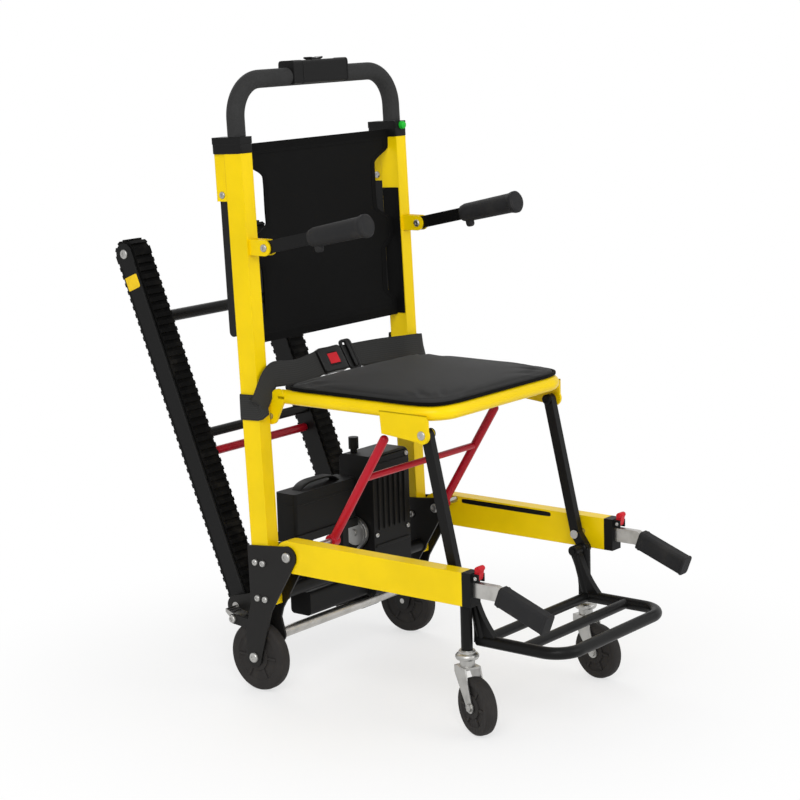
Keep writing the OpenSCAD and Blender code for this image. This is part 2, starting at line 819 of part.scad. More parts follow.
module seat_cushion() {
    row = cushion_n + 1;
    sheet = row * row;
    points = [for (top = [true, false], j = [0:cushion_n], i = [0:cushion_n]) cushion_point(i, j, top)];
    tops = [for (j = [0:cushion_n - 1], i = [0:cushion_n - 1]) let (a = j * row + i)
        each [[a, a + row, a + row + 1], [a, a + row + 1, a + 1]]];
    lows = [for (f = tops) [f[0] + sheet, f[2] + sheet, f[1] + sheet]];
    steps = [0:cushion_n - 1];
    rim = concat([for (i = steps) i], [for (j = steps) j * row + cushion_n],
        [for (i = steps) cushion_n * row + cushion_n - i], [for (j = steps) (cushion_n - j) * row]);
    sides = [for (k = [0:len(rim) - 1]) let (a = rim[k], b = rim[(k + 1) % len(rim)])
        each [[a, b, b + sheet], [a, b + sheet, a + sheet]]];
    color("dimgray") polyhedron(points = points, faces = concat(tops, lows, sides));
}

// Base rails and what slides in them
module base_rails() {
    w = tube_w - 2 * gap;
    color("gold") both() difference() {
        side_plate(inner_x + gap, w) {
            translate(rail_rear) circle(r = rail_h / 2);
            translate([rail_tip_y, rail_z - rail_h / 2]) square([rail_pivot_y - rail_tip_y, rail_h]);
        }
        translate([inner_x + gap + wall, rail_tip_y - over, rail_z - rail_h / 2 + wall])
            cube([w - 2 * wall, rail_pivot_y - rail_h - rail_tip_y + over, rail_h - 2 * wall]);
        rod_x(inner_x - over, half_w + over, rail_rear, pin_d + 2 * fit);
    }
}

module rail_end_caps() {
    w = tube_w - 2 * gap;
    ear = 3;
    color("black") both() difference() {
        union() {
            translate([post_x - w / 2, rail_tip_y - cap_d, rail_z - rail_h / 2]) cube([w, cap_d, rail_h]);
            for (x = [post_x - lift_bar_w / 2 - gap - ear, post_x + lift_bar_w / 2 + gap])
                translate([x, rail_tip_y - cap_d - 13, lever_at[1] - 7]) cube([ear, 13, 14]);
        }
        translate([post_x - lift_bar_w / 2 - gap, rail_tip_y - cap_d - over, rail_z - lift_bar_h / 2 - gap])
            cube([lift_bar_w + 2 * gap, cap_d + 2 * over, lift_bar_h + 2 * gap]);
        rod_x(post_x - tube_w, post_x + tube_w, lever_at, lever_pin_d);
    }
    color("silver") both() rod_x(post_x - lift_bar_w / 2 - gap - ear, post_x + lift_bar_w / 2 + gap + ear,
        lever_at, lever_pin_d);
}

strut_low = rail_rear + [-48, 23];
strut_high = rail_rear + [-172, 218];

// Studs on the rails for the front legs and the struts
module rail_pins() {
    color("silver") both() {
        rod_x(leg_x - 1, inner_x + gap, rail_front, pin_d);
        rod_x(leg_x - 3, leg_x - 1, rail_front, pin_d + 6);
        rod_x(strut_x - strut_d / 2 - 1, inner_x + gap, strut_low, pin_d);
        rod_x(strut_x - strut_d / 2 - 3, strut_x - strut_d / 2 - 1, strut_low, pin_d + 6);
    }
}

// Front legs: slanted bars that turn down into the caster stems
module front_legs() {
    knee = [stem_y, rail_z - 24];
    pin_in = foot_x - foot_d / 2 - 2;
    color("black") both() {
        difference() {
            union() {
                side_plate(leg_x, leg_w) {
                    link_2d(seat_front, rail_front, leg_r);
                    link_2d(rail_front, knee, leg_r);
                }
                translate([stem_x, stem_y, stem_low_z]) cylinder(h = knee[1] - stem_low_z, d = stem_d);
                ball([stem_x, stem_y, knee[1]], stem_d);
            }
            for (at = [seat_front, rail_front])
                rod_x(leg_x - over, leg_x + leg_w + over, at, pin_d + 2 * fit);
            translate([stem_x, stem_y, stem_low_z - over]) cylinder(h = 40 + over + gap, d = 10 + 2 * fit);
        }
        rod_x(pin_in, leg_x, foot_pivot, pin_d);
    }
}

// Red struts with their cross bar
module strut_frame() {
    at = function(p) [strut_x, p[0], p[1]];
    mid = strut_low + (strut_high - strut_low) * 0.62;
    color("firebrick") {
        both() difference() {
            union() {
                rod(at(strut_low), at(strut_high), strut_d);
                rod_x(strut_x - strut_d / 2, strut_x + strut_d / 2, strut_low, strut_d + 6);
                ball(at(strut_high), strut_d);
            }
            rod_x(strut_x - strut_d, strut_x + strut_d, strut_low, pin_d + 2 * fit);
        }
        rod_x(-strut_x, strut_x, mid, 12);
    }
}

// Footrest: a bent tube with two bars, hung from the legs
module footrest() {
    front_y = foot_rear[0] - foot_reach;
    z = foot_rear[1];
    color("black") difference() {
        union() {
            both() {
                rod_x(foot_x - foot_d / 2, foot_x + foot_d / 2, foot_pivot, foot_boss_d);
                rod([foot_x, foot_pivot[0], foot_pivot[1]], [foot_x, foot_rear[0], z], foot_bar_d);
                rod([foot_x, front_y + foot_corner, z], [foot_x, foot_rear[0] + foot_d / 2, z], foot_d);
                translate([foot_x - foot_corner, front_y + foot_corner, z]) rotate([0, 0, -90])
                    rotate_extrude(angle = 90) translate([foot_corner, 0]) circle(d = foot_d);
            }
            for (y = [foot_rear[0], foot_rear[0] - foot_reach * 0.5])
                rod_x(-foot_x, foot_x, [y, z], foot_bar_d);
            rod_x(-foot_x + foot_corner, foot_x - foot_corner, [front_y, z], foot_d);
        }
        both() rod_x(foot_x - foot_d, foot_x + foot_d, foot_pivot, pin_d + 2 * fit);
    }
}

// Casters, drawn about their swivel axes
module caster_place(side, swing) {
    translate([side * stem_x, stem_y, 0]) rotate([0, 0, swing]) children();
}

module caster_fork(side, swing) {
    crown_z = caster_d + 14;
    cheek_x = caster_w / 2 + 1.5;
    color("silver") caster_place(side, swing) {
        translate([0, 0, crown_z]) cylinder(h = stem_low_z - crown_z - gap, d = 26);
        translate([0, 0, stem_low_z - gap]) cylinder(h = 40, d = 10);
        translate([-cheek_x - caster_cheek, -17, crown_z - 4]) cube([2 * (cheek_x + caster_cheek), 34, 4]);
        for (x = [-cheek_x - caster_cheek, cheek_x]) side_plate(x, caster_cheek) {
            polygon([[-17, crown_z], [17, crown_z], [17, crown_z - 12], [-caster_trail + 9, caster_d / 2 - 4],
                [-caster_trail - 9, caster_d / 2 - 4]]);
            translate([-caster_trail, caster_d / 2]) circle(r = 10);
        }
        rod_x(-cheek_x - caster_cheek - 3, cheek_x + caster_cheek + 3, [-caster_trail, caster_d / 2],
            caster_axle_d);
    }
}

module caster_wheel(side, swing) {
    caster_place(side, swing) translate([0, -caster_trail, caster_d / 2])
        wheel(caster_d, caster_w, caster_axle_d + 2 * fit);
}

module right_caster_fork() {
    caster_fork(-1, right_swing);
}

module left_caster_fork() {
    caster_fork(1, left_swing);
}

module right_caster_wheel() {
    caster_wheel(-1, right_swing);
}

module left_caster_wheel() {
    caster_wheel(1, left_swing);
}

// Arms, drawn along -Y from their pivots and then raised
module arm_place(side) {
    translate([side * post_x, arm_pivot[0], arm_pivot[1]]) rotate([-arm_rise, 0, 0]) children();
}

module arm(side) {
    bar_h = 22;
    color("black") arm_place(side) difference() {
        side_plate(-arm_t / 2, arm_t) {
            circle(r = bar_h / 2 + 1);
            translate([-arm_bar_len - 60, -bar_h / 2]) square([arm_bar_len + 60, bar_h]);
        }
        rod_x(-arm_t, arm_t, [0, 0], arm_pin_d + 2 * fit);
    }
}

module arm_grip(side) {
    bar_h = 22;
    tip = 8;
    r = arm_grip_d / 2;
    long = arm_len - arm_bar_len;
    color("black") arm_place(side) difference() {
        translate([0, -arm_bar_len, 0]) rotate([90, 0, 0]) rotate_extrude() polygon([[0, 0], [r - 3, 0],
            [r - 1, tip], [r, long - 2 * tip], [r + 2, long - tip], [r + 2, long - 3], [r - 1, long],
            [0, long]]);
        translate([-arm_t / 2, -arm_bar_len - 60, -bar_h / 2]) cube([arm_t, 60 + over, bar_h]);
    }
}

module right_arm() {
    arm(-1);
}

module left_arm() {
    arm(1);
}

module right_arm_grip() {
    arm_grip(-1);
}

module left_arm_grip() {
    arm_grip(1);
}

// Rear handles, folded down behind the posts
module rear_handle(side) {
    at_y = post_d / 2 + 13;
    color("black") on_post() translate([side * post_x, at_y, grip_z]) difference() {
        union() link_plate(-grip_w / 2, grip_w, [0, 0], [0, -grip_len + grip_t / 2], grip_t / 2);
        rod_x(-grip_w, grip_w, [0, 0], arm_pin_d + 2 * fit);
    }
}

module right_rear_handle() {
    rear_handle(-1);
}

module left_rear_handle() {
    rear_handle(1);
}

// Lift handles: flat bars that draw out of the rails, with sloping grips
lift_knee_y = rail_tip_y - cap_d - lift_out;

module lift_place(side) {
    translate([side * post_x, lift_knee_y, rail_z]) rotate([lift_slope, 0, 0]) children();
}

module lift_bar(side) {
    stub = 50;
    half = lift_bar_h / 2;
    mitre = half * tan(lift_slope / 2);
    tail_y = rail_tip_y + lift_in;
    along = [-cos(lift_slope), -sin(lift_slope)];
    across = [-sin(lift_slope), cos(lift_slope)] * half;
    tip = [lift_knee_y, rail_z] + stub * along;
    color("silver") side_plate(side * post_x - lift_bar_w / 2, lift_bar_w) polygon([
        [tail_y, rail_z + half],
        [lift_knee_y - mitre, rail_z + half],
        tip + across,
        tip - across,
        [lift_knee_y + mitre, rail_z - half],
        [tail_y, rail_z - half],
    ]);
}

module lift_grip(side) {
    stub = 50;
    start = 8;
    color("black") lift_place(side) difference() {
        translate([0, -start, 0]) rotate([90, 0, 0]) linear_extrude(lift_grip_len)
            round_rect(lift_grip_w, lift_grip_h, 6);
        translate([-lift_bar_w / 2, -stub, -lift_bar_h / 2]) cube([lift_bar_w, stub, lift_bar_h]);
    }
}

module right_lift_bar() {
    lift_bar(-1);
}

module left_lift_bar() {
    lift_bar(1);
}

module right_lift_grip() {
    lift_grip(-1);
}

module left_lift_grip() {
    lift_grip(1);
}

// Red levers that free the lift handles
module release_lever(side) {
    top = lever_at + [-3, 15.5];
    color("red") translate([side * post_x, 0, 0]) difference() {
        union() {
            side_plate(-lift_bar_w / 2, lift_bar_w) link_2d(lever_at, top, 5);
            rod_x(-9, 9, top, 9);
        }
        rod_x(-lift_bar_w, lift_bar_w, lever_at, lever_pin_d + 2 * fit);
    }
}

module right_release_lever() {
    release_lever(-1);
}

module left_release_lever() {
    release_lever(1);
}

back_posts();
post_caps();
wheel_brackets();
bracket_bolts();
frame_pins();
cross_tube();
rear_bar();
back_cloth();
rear_handle_brackets();
arm_brackets();
seat_belt();
belt_buckle();
battery_tray();
drive_housing();
motor();
drive_chain();
push_handle();
handle_sleeve();
control_box();
direction_rocker();
track_frames();
track_belts();
track_crossbars();
track_release_bar();
drive_shaft();
drive_pulleys();
idler_pulleys();
motor_sprocket();
right_rear_wheel();
left_rear_wheel();
right_brake_pedal();
left_brake_pedal();
seat_frame();
seat_brackets();
seat_cushion();
base_rails();
rail_end_caps();
rail_pins();
front_legs();
strut_frame();
footrest();
right_caster_fork();
left_caster_fork();
right_caster_wheel();
left_caster_wheel();
right_arm();
left_arm();
right_arm_grip();
left_arm_grip();
right_rear_handle();
left_rear_handle();
right_lift_bar();
left_lift_bar();
right_lift_grip();
left_lift_grip();
right_release_lever();
left_release_lever();
battery_pack();
buckle_button();
drive_knob();
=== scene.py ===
"""Looks of a folding stair climbing wheelchair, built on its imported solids.

Sizes in the classes are millimetres in the frame of the solids: the floor is z = 0, the chair
faces -Y and its left side is +X. Meshes are written in metres.
"""

from __future__ import annotations

import json
import logging
import math
from dataclasses import dataclass
from enum import Enum
from typing import Any, Sequence

import bmesh
import bpy
import numpy as np
from mathutils import Matrix

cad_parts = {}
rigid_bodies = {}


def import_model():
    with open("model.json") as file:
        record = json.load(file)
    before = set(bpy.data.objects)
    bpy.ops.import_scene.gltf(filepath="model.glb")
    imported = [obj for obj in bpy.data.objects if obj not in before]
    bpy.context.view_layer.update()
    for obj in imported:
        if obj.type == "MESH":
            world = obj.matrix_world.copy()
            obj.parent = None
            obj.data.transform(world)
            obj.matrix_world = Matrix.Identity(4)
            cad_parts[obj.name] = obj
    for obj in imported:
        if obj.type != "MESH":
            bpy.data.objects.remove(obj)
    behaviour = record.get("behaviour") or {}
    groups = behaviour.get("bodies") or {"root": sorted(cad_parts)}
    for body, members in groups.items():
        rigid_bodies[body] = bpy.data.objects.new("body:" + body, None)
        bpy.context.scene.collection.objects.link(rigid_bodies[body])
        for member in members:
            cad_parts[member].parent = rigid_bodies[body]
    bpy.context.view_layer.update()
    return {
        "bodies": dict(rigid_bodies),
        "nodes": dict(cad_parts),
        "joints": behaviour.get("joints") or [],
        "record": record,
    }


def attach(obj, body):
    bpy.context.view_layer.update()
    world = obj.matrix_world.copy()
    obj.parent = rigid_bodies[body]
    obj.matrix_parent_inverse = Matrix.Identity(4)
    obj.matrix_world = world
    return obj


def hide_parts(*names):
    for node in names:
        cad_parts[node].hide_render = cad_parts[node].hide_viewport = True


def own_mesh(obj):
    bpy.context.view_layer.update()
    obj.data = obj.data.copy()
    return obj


LOG = logging.getLogger("chair")
MM = 0.001
WHITE = (1.0, 1.0, 1.0, 1.0)
REARWARD = (0.0, 1.0, 0.0)
FORWARD = (0.0, -1.0, 0.0)
UPWARD = (0.0, 0.0, 1.0)
Colour = tuple[int, int, int]
Pair = tuple[float, float]
Triple = tuple[float, float, float]
Spot = tuple[Sequence[float], Triple, float, float]


def linear(colour: Colour, gain: float = 1.0) -> tuple[float, float, float, float]:
    """Turn an 8-bit screen colour into a linear one.

    Args:
        colour: Red, green and blue from 0 to 255.
        gain: Factor on the linear values.

    Returns:
        Linear red, green, blue and an alpha of one.
    """
    c = np.asarray(colour, float) / 255.0
    lin = np.where(c <= 0.04045, c / 12.92, ((c + 0.055) / 1.055) ** 2.4) * gain
    return (float(lin[0]), float(lin[1]), float(lin[2]), 1.0)


class Side(Enum):
    """Side of the chair, as the sitter has it, with its sign along X."""

    RIGHT = -1
    LEFT = 1

    @property
    def word(self) -> str:
        """Name of the side as the bodies spell it."""
        return self.name.lower()

    def away(self, sign: float = 1.0) -> Triple:
        """Direction out of the chair on this side, or into it for a sign of -1."""
        return (sign * self.value, 0.0, 0.0)


class Expr:
    """A shader socket that carries a number; arithmetic on it adds Math nodes."""

    def __init__(self, graph: "Nodes", socket: bpy.types.NodeSocket) -> None:
        """Wrap one output socket of a graph."""
        self.graph = graph
        self.socket = socket

    def _math(self, operation: str, a: "Expr | float", b: "Expr | float" = 0.0) -> "Expr":
        """Add one Math node on two values."""
        return self.graph.node("ShaderNodeMath", {"operation": operation}, {0: a, 1: b})

    def __add__(self, other: "Expr | float") -> "Expr":
        """Sum."""
        return self._math("ADD", self, other)

    __radd__ = __add__

    def __sub__(self, other: "Expr | float") -> "Expr":
        """Difference."""
        return self._math("SUBTRACT", self, other)

    def __rsub__(self, other: float) -> "Expr":
        """Difference from a number."""
        return self._math("SUBTRACT", other, self)

    def __mul__(self, other: "Expr | float") -> "Expr":
        """Product."""
        return self._math("MULTIPLY", self, other)

    __rmul__ = __mul__

    def __pow__(self, other: float) -> "Expr":
        """Power."""
        return self._math("POWER", self, other)

    def sin(self) -> "Expr":
        """Sine, in radians."""
        return self._math("SINE", self)

    def size(self) -> "Expr":
        """Absolute value."""
        return self._math("ABSOLUTE", self)

    def at_most(self, other: "Expr | float") -> "Expr":
        """Smaller of two values."""
        return self._math("MINIMUM", self, other)

    def at_least(self, other: "Expr | float") -> "Expr":
        """Larger of two values."""
        return self._math("MAXIMUM", self, other)

    def ease(self, low: float, high: float) -> "Expr":
        """Smooth step from 0 at low to 1 at high."""
        return self.graph.node("ShaderNodeMapRange", {"interpolation_type": "SMOOTHSTEP"},
                               {"Value": self, "From Min": low, "From Max": high})


class Nodes:
    """Node tree of a material or a world, emptied and filled by one method."""

    def __init__(self, owner: bpy.types.Material | bpy.types.World, output: str) -> None:
        """Empty the owner's tree and give it an output.

        Args:
            owner: Material or world.
            output: Type name of the output node.
        """
        owner.use_nodes = True
        self.tree = owner.node_tree
        self.tree.nodes.clear()
        self.output = self.tree.nodes.new(output)

    def feed(self, socket: bpy.types.NodeSocket, value: Any) -> None:
        """Link a wrapped socket to an input, or set the input to a value."""
        if isinstance(value, Expr):
            self.tree.links.new(value.socket, socket)
        else:
            socket.default_value = value

    def node(self, kind: str, settings: dict[str, Any] | None = None,
             sockets: dict[str | int, Any] | None = None, out: str | int = 0) -> Expr:
        """Add any node.

        Args:
            kind: Type name of the node.
            settings: Properties that are set first.
            sockets: Values or links of its inputs.
            out: Output that is wrapped.

        Returns:
            The chosen output.
        """
        made = self.tree.nodes.new(kind)
        for key, value in (settings or {}).items():
            setattr(made, key, value)
        for key, value in (sockets or {}).items():
            self.feed(made.inputs[key], value)
        return Expr(self, made.outputs[out])

    def end(self, shader: Expr) -> None:
        """Send a shader to the output."""
        self.feed(self.output.inputs["Surface"], shader)

    def seen_ray(self) -> Expr:
        """One for rays from the camera, mirrors and glass."""
        rays = [self.node("ShaderNodeLightPath", out=name)
                for name in ("Is Camera Ray", "Is Glossy Ray", "Is Transmission Ray")]
        return rays[0].at_least(rays[1]).at_least(rays[2])


class Graph(Nodes):
    """Node tree of one material, with a Principled surface at its end."""

    def __init__(self, name: str) -> None:
        """Start an empty material.

        Args:
            name: Name of the material.
        """
        self.material = bpy.data.materials.new(name)
        super().__init__(self.material, "ShaderNodeOutputMaterial")
        self.surface = self.tree.nodes.new("ShaderNodeBsdfPrincipled")
        self.end(self.lit())

    def lit(self) -> Expr:
        """The Principled surface's output."""
        return Expr(self, self.surface.outputs[0])

    def set(self, **sockets: Any) -> None:
        """Give values or links to the surface's sockets, with underscores for spaces."""
        for key, value in sockets.items():
            self.feed(self.surface.inputs[key.replace("_", " ")], value)

    def place(self, scale: Triple = (1.0, 1.0, 1.0)) -> Expr:
        """Object coordinates in metres, scaled."""
        where = self.node("ShaderNodeTexCoord", out="Object")
        return self.node("ShaderNodeMapping", {}, {"Vector": where, "Scale": scale})

    def axis(self, letter: str, place: Expr | None = None) -> Expr:
        """One coordinate of a place."""
        return self.node("ShaderNodeSeparateXYZ", {}, {"Vector": place or self.place()}, letter)

    def noise(self, scale: float, detail: float = 2.0, place: Expr | None = None) -> Expr:
        """Soft noise from 0 to 1, with scale in lumps per metre."""
        sockets = {"Vector": place or self.place(), "Scale": scale, "Detail": detail,
                   "Roughness": 0.55}
        return self.node("ShaderNodeTexNoise", {}, sockets, "Fac")

    def cells(self, scale: float) -> Expr:
        """Distance to the nearest of scattered points, with scale in points per metre."""
        sockets = {"Vector": self.place(), "Scale": scale}
        return self.node("ShaderNodeTexVoronoi", {}, sockets, "Distance")

    def tint(self, share: Expr, low: Sequence[float] | Expr, high: Sequence[float] | Expr) -> Expr:
        """Colour that goes from low to high as share goes from 0 to 1."""
        return self.node("ShaderNodeMix", {"data_type": "RGBA"}, {0: share, 6: low, 7: high}, 2)

    def edges(self, radius: float) -> tuple[Expr, Expr]:
        """Rounded normal near the edges of a solid, and a mask of those edges.

        Args:
            radius: Radius of the rounding in millimetres.

        Returns:
            The normal, and a value that rises from 0 to 1 on edges.
        """
        soft = self.node("ShaderNodeBevel", {"samples": 4}, {"Radius": radius * MM})
        flat = self.node("ShaderNodeNewGeometry", out="Normal")
        same = self.node("ShaderNodeVectorMath", {"operation": "DOT_PRODUCT"},
                         {0: soft, 1: flat}, "Value")
        return soft, (1.0 - same).ease(0.02, 0.25)

    def relief(self, height: Expr, depth: float, strength: float = 1.0,
               normal: Expr | None = None) -> None:
        """Send a height to the surface's normal.

        Args:
            height: Height from 0 to 1.
            depth: Millimetres of a height of 1.
            strength: Share of the effect.
            normal: Normal that the relief stands on.
        """
        sockets: dict[str | int, Any] = {"Height": height, "Distance": depth * MM,
                                         "Strength": strength}
        if normal is not None:
            sockets["Normal"] = normal
        self.set(Normal=self.node("ShaderNodeBump", {}, sockets))


@dataclass(frozen=True)
class Finish:
    """A finish of the chair: its colour, its gloss and the slot that it belongs to."""

    name: str
    slot: str
    colour: Colour
    rough: float
    edge: float = 1.2
    gloss: float = 0.15

    def shade(self, g: Graph) -> None:
        """Write the finish into a graph."""
        raise NotImplementedError

    def tone(self, gain: float = 1.0) -> tuple[float, float, float, float]:
        """The finish's linear colour, brightened by a factor."""
        return linear(self.colour, gain)

    def material(self) -> bpy.types.Material:
        """Material of this finish, made once."""
        made = bpy.data.materials.get(self.name)
        if made is None:
            graph = Graph(self.name)
            graph.set(Specular_IOR_Level=self.gloss)
            self.shade(graph)
            made = graph.material
        return made


@dataclass(frozen=True)
class PowderCoat(Finish):
    """Baked paint with a fine orange peel, thinner and rubbed along its edges."""

    bare: Colour = (120, 110, 90)
    coat: float = 0.25

    def shade(self, g: Graph) -> None:
        """Cloudy tone, specks, rubbed edges and peel."""
        soft, edge = g.edges(self.edge)
        cloud = g.noise(9.0, 4.0)
        scuff = g.noise(160.0, 5.0).ease(0.52, 0.75)
        tone = g.tint(cloud.ease(0.3, 0.7), self.tone(0.93), self.tone(1.03))
        worn = (edge * scuff * 0.55).at_most(1.0)
        g.set(Base_Color=g.tint(worn, tone, linear(self.bare)),
              Roughness=self.rough + 0.12 * cloud + 0.2 * worn - 0.06,
              Coat_Weight=self.coat, Coat_Roughness=0.12)
        g.relief(g.noise(420.0, 1.0), 0.05, 0.35, soft)


@dataclass(frozen=True)
class ZincSteel(Finish):
    """Plated steel with faint drawn lines and dull spots, and a painted highlight that lightens
    every edge.
    """

    lines: Triple = (1.0, 1.0, 1.0)
    # Colour of the painted highlight that lightens every edge.
    bright: Colour = (235, 235, 235)

    def shade(self, g: Graph) -> None:
        """Drawn lines in the gloss, a cloudy tone, and a painted highlight along the edges."""
        soft, edge = g.edges(self.edge)
        drawn = g.noise(260.0, 3.0, g.place(self.lines))
        dull = g.noise(35.0, 4.0)
        tone = g.tint(dull.ease(0.35, 0.75), self.tone(1.05), self.tone(0.78))
        # The edge mask blends the painted highlight colour into every edge.
        g.set(Base_Color=g.tint(edge * 0.4, tone, linear(self.bright)), Metallic=1.0,
              Roughness=self.rough + 0.16 * drawn + 0.12 * dull - 0.12)
        g.relief(drawn, 0.03, 0.3, soft)


@dataclass(frozen=True)
class MouldedPlastic(Finish):
    """Moulded plastic with a spark-eroded grain, shinier on rubbed edges, where a painted highlight
    also lightens the colour.
    """

    grain: float = 900.0

    def shade(self, g: Graph) -> None:
        """Grain, a faint bloom, and glossier edges that carry a painted highlight in their colour.
        """
        soft, edge = g.edges(self.edge)
        bloom = g.noise(22.0, 4.0)
        tone = g.tint(bloom.ease(0.35, 0.8), self.tone(), self.tone(1.35))
        # Edges: lower roughness for the rubbed gloss, and a painted highlight that lightens their
        # colour.
        g.set(Base_Color=g.tint(edge * 0.35, tone, self.tone(2.2)),
              Roughness=self.rough + 0.14 * bloom - 0.15 * edge - 0.05)
        g.relief(g.cells(self.grain), 0.06, 0.45, soft)


@dataclass(frozen=True)
class Rubber(Finish):
    """Black rubber, dusty in its hollows, with fine parallel ribs where a pitch is given."""

    rib: float = 0.0
    dust: Colour = (92, 88, 82)

    def shade(self, g: Graph) -> None:
        """Dust, scuffs and ribs."""
        soft, edge = g.edges(self.edge)
        cloud = g.noise(30.0, 5.0)
        scuff = g.noise(240.0, 4.0)
        share = (cloud.ease(0.45, 0.85) * 0.16 + edge * scuff * 0.22).at_most(1.0)
        g.set(Base_Color=g.tint(share, self.tone(), linear(self.dust)),
              Roughness=self.rough + 0.18 * scuff - 0.1 * edge)
        height = scuff * 0.4
        if self.rib:
            height = height + (g.axis("X") * (math.tau / (self.rib * MM))).sin().ease(-0.6, 0.6)
        g.relief(height, 0.35 if self.rib else 0.12, 0.6, soft)


@dataclass(frozen=True)
class Foam(Finish):
    """Closed-cell foam sleeve with open pores and a handled sheen."""

    def shade(self, g: Graph) -> None:
        """Pores in the relief and the tone."""
        pores = g.cells(650.0)
        cloud = g.noise(18.0, 4.0)
        tone = g.tint(pores.ease(0.1, 0.6), self.tone(0.7), self.tone(1.15))
        g.set(Base_Color=g.tint(cloud.ease(0.4, 0.9) * 0.5, tone, self.tone(1.5)),
              Roughness=self.rough + 0.1 * cloud, Sheen_Weight=0.03)
        g.relief(pores, 0.25, 0.6)


@dataclass(frozen=True)
class WovenCloth(Finish):
    """Coated plain weave, its yarns running along two axes of the chair."""

    across: str = "X"
    along: str = "Y"
    pitch: float = 1.5
    sheen: float = 0.25

    def shade(self, g: Graph) -> None:
        """Over-and-under yarns, slubs, and paler rubbed crowns."""
        where = g.place()
        step = math.pi / (self.pitch * MM)
        u = g.axis(self.across, where) * step
        v = g.axis(self.along, where) * step
        over = (u.sin() * v.sin()).ease(-0.15, 0.15)
        yarn = over * u.sin().size() + (1.0 - over) * v.sin().size()
        slub = g.noise(90.0, 5.0)
        wear = g.noise(7.0, 4.0)
        tone = g.tint(yarn * 0.6 + slub * 0.4, self.tone(0.72), self.tone(1.25))
        g.set(Base_Color=g.tint(wear.ease(0.5, 0.95) * 0.35, tone, self.tone(1.7)),
              Roughness=self.rough + 0.12 * slub - 0.1 * wear,
              Sheen_Weight=self.sheen, Sheen_Roughness=0.5)
        g.relief(yarn + 0.35 * slub, 0.22, 0.5)


@dataclass(frozen=True)
class Webbing(Finish):
    """Seat belt webbing: a herringbone of fine ribs along the strip, with rolled edges darkened by
    painted shade.
    """

    half_width: float = 23.0
    rib_pitch: float = 2.6
    cord_pitch: float = 3.8
    # Insets from the strip's edge between which the painted shade of the rolled edges sets in.
    rim: Pair = (3.5, 1.5)

    def shade(self, g: Graph) -> None:
        """Ribs that lean to both sides of the middle, on the strip's own map in metres, and painted
        shade on the rolled edges.
        """
        where = g.node("ShaderNodeUVMap", {"uv_map": "strip"})
        along = g.axis("X", where)
        side = g.axis("Y", where)
        slant = (along + 0.6 * side.size()) * (math.tau / (self.rib_pitch * MM))
        ribs = slant.sin().ease(-0.8, 0.8)
        cords = (side * (math.tau / (self.cord_pitch * MM))).sin().ease(-0.8, 0.8)
        # Mask of the strip's rolled edges, where the colour is darkened by painted shade.
        rim = side.size().ease(*((self.half_width - inset) * MM for inset in self.rim))
        fuzz = g.noise(120.0, 5.0)
        tone = g.tint(ribs * 0.5 + cords * 0.3 + fuzz * 0.2, self.tone(0.65), self.tone(1.3))
        # The rolled edges get a painted shade, darker than the webbing.
        g.set(Base_Color=g.tint(rim * 0.5, tone, self.tone(0.6)),
              Roughness=self.rough + 0.15 * fuzz, Sheen_Weight=0.05, Sheen_Roughness=0.45)
        g.relief(ribs * 0.6 + cords * 0.5, 0.25, 0.55)


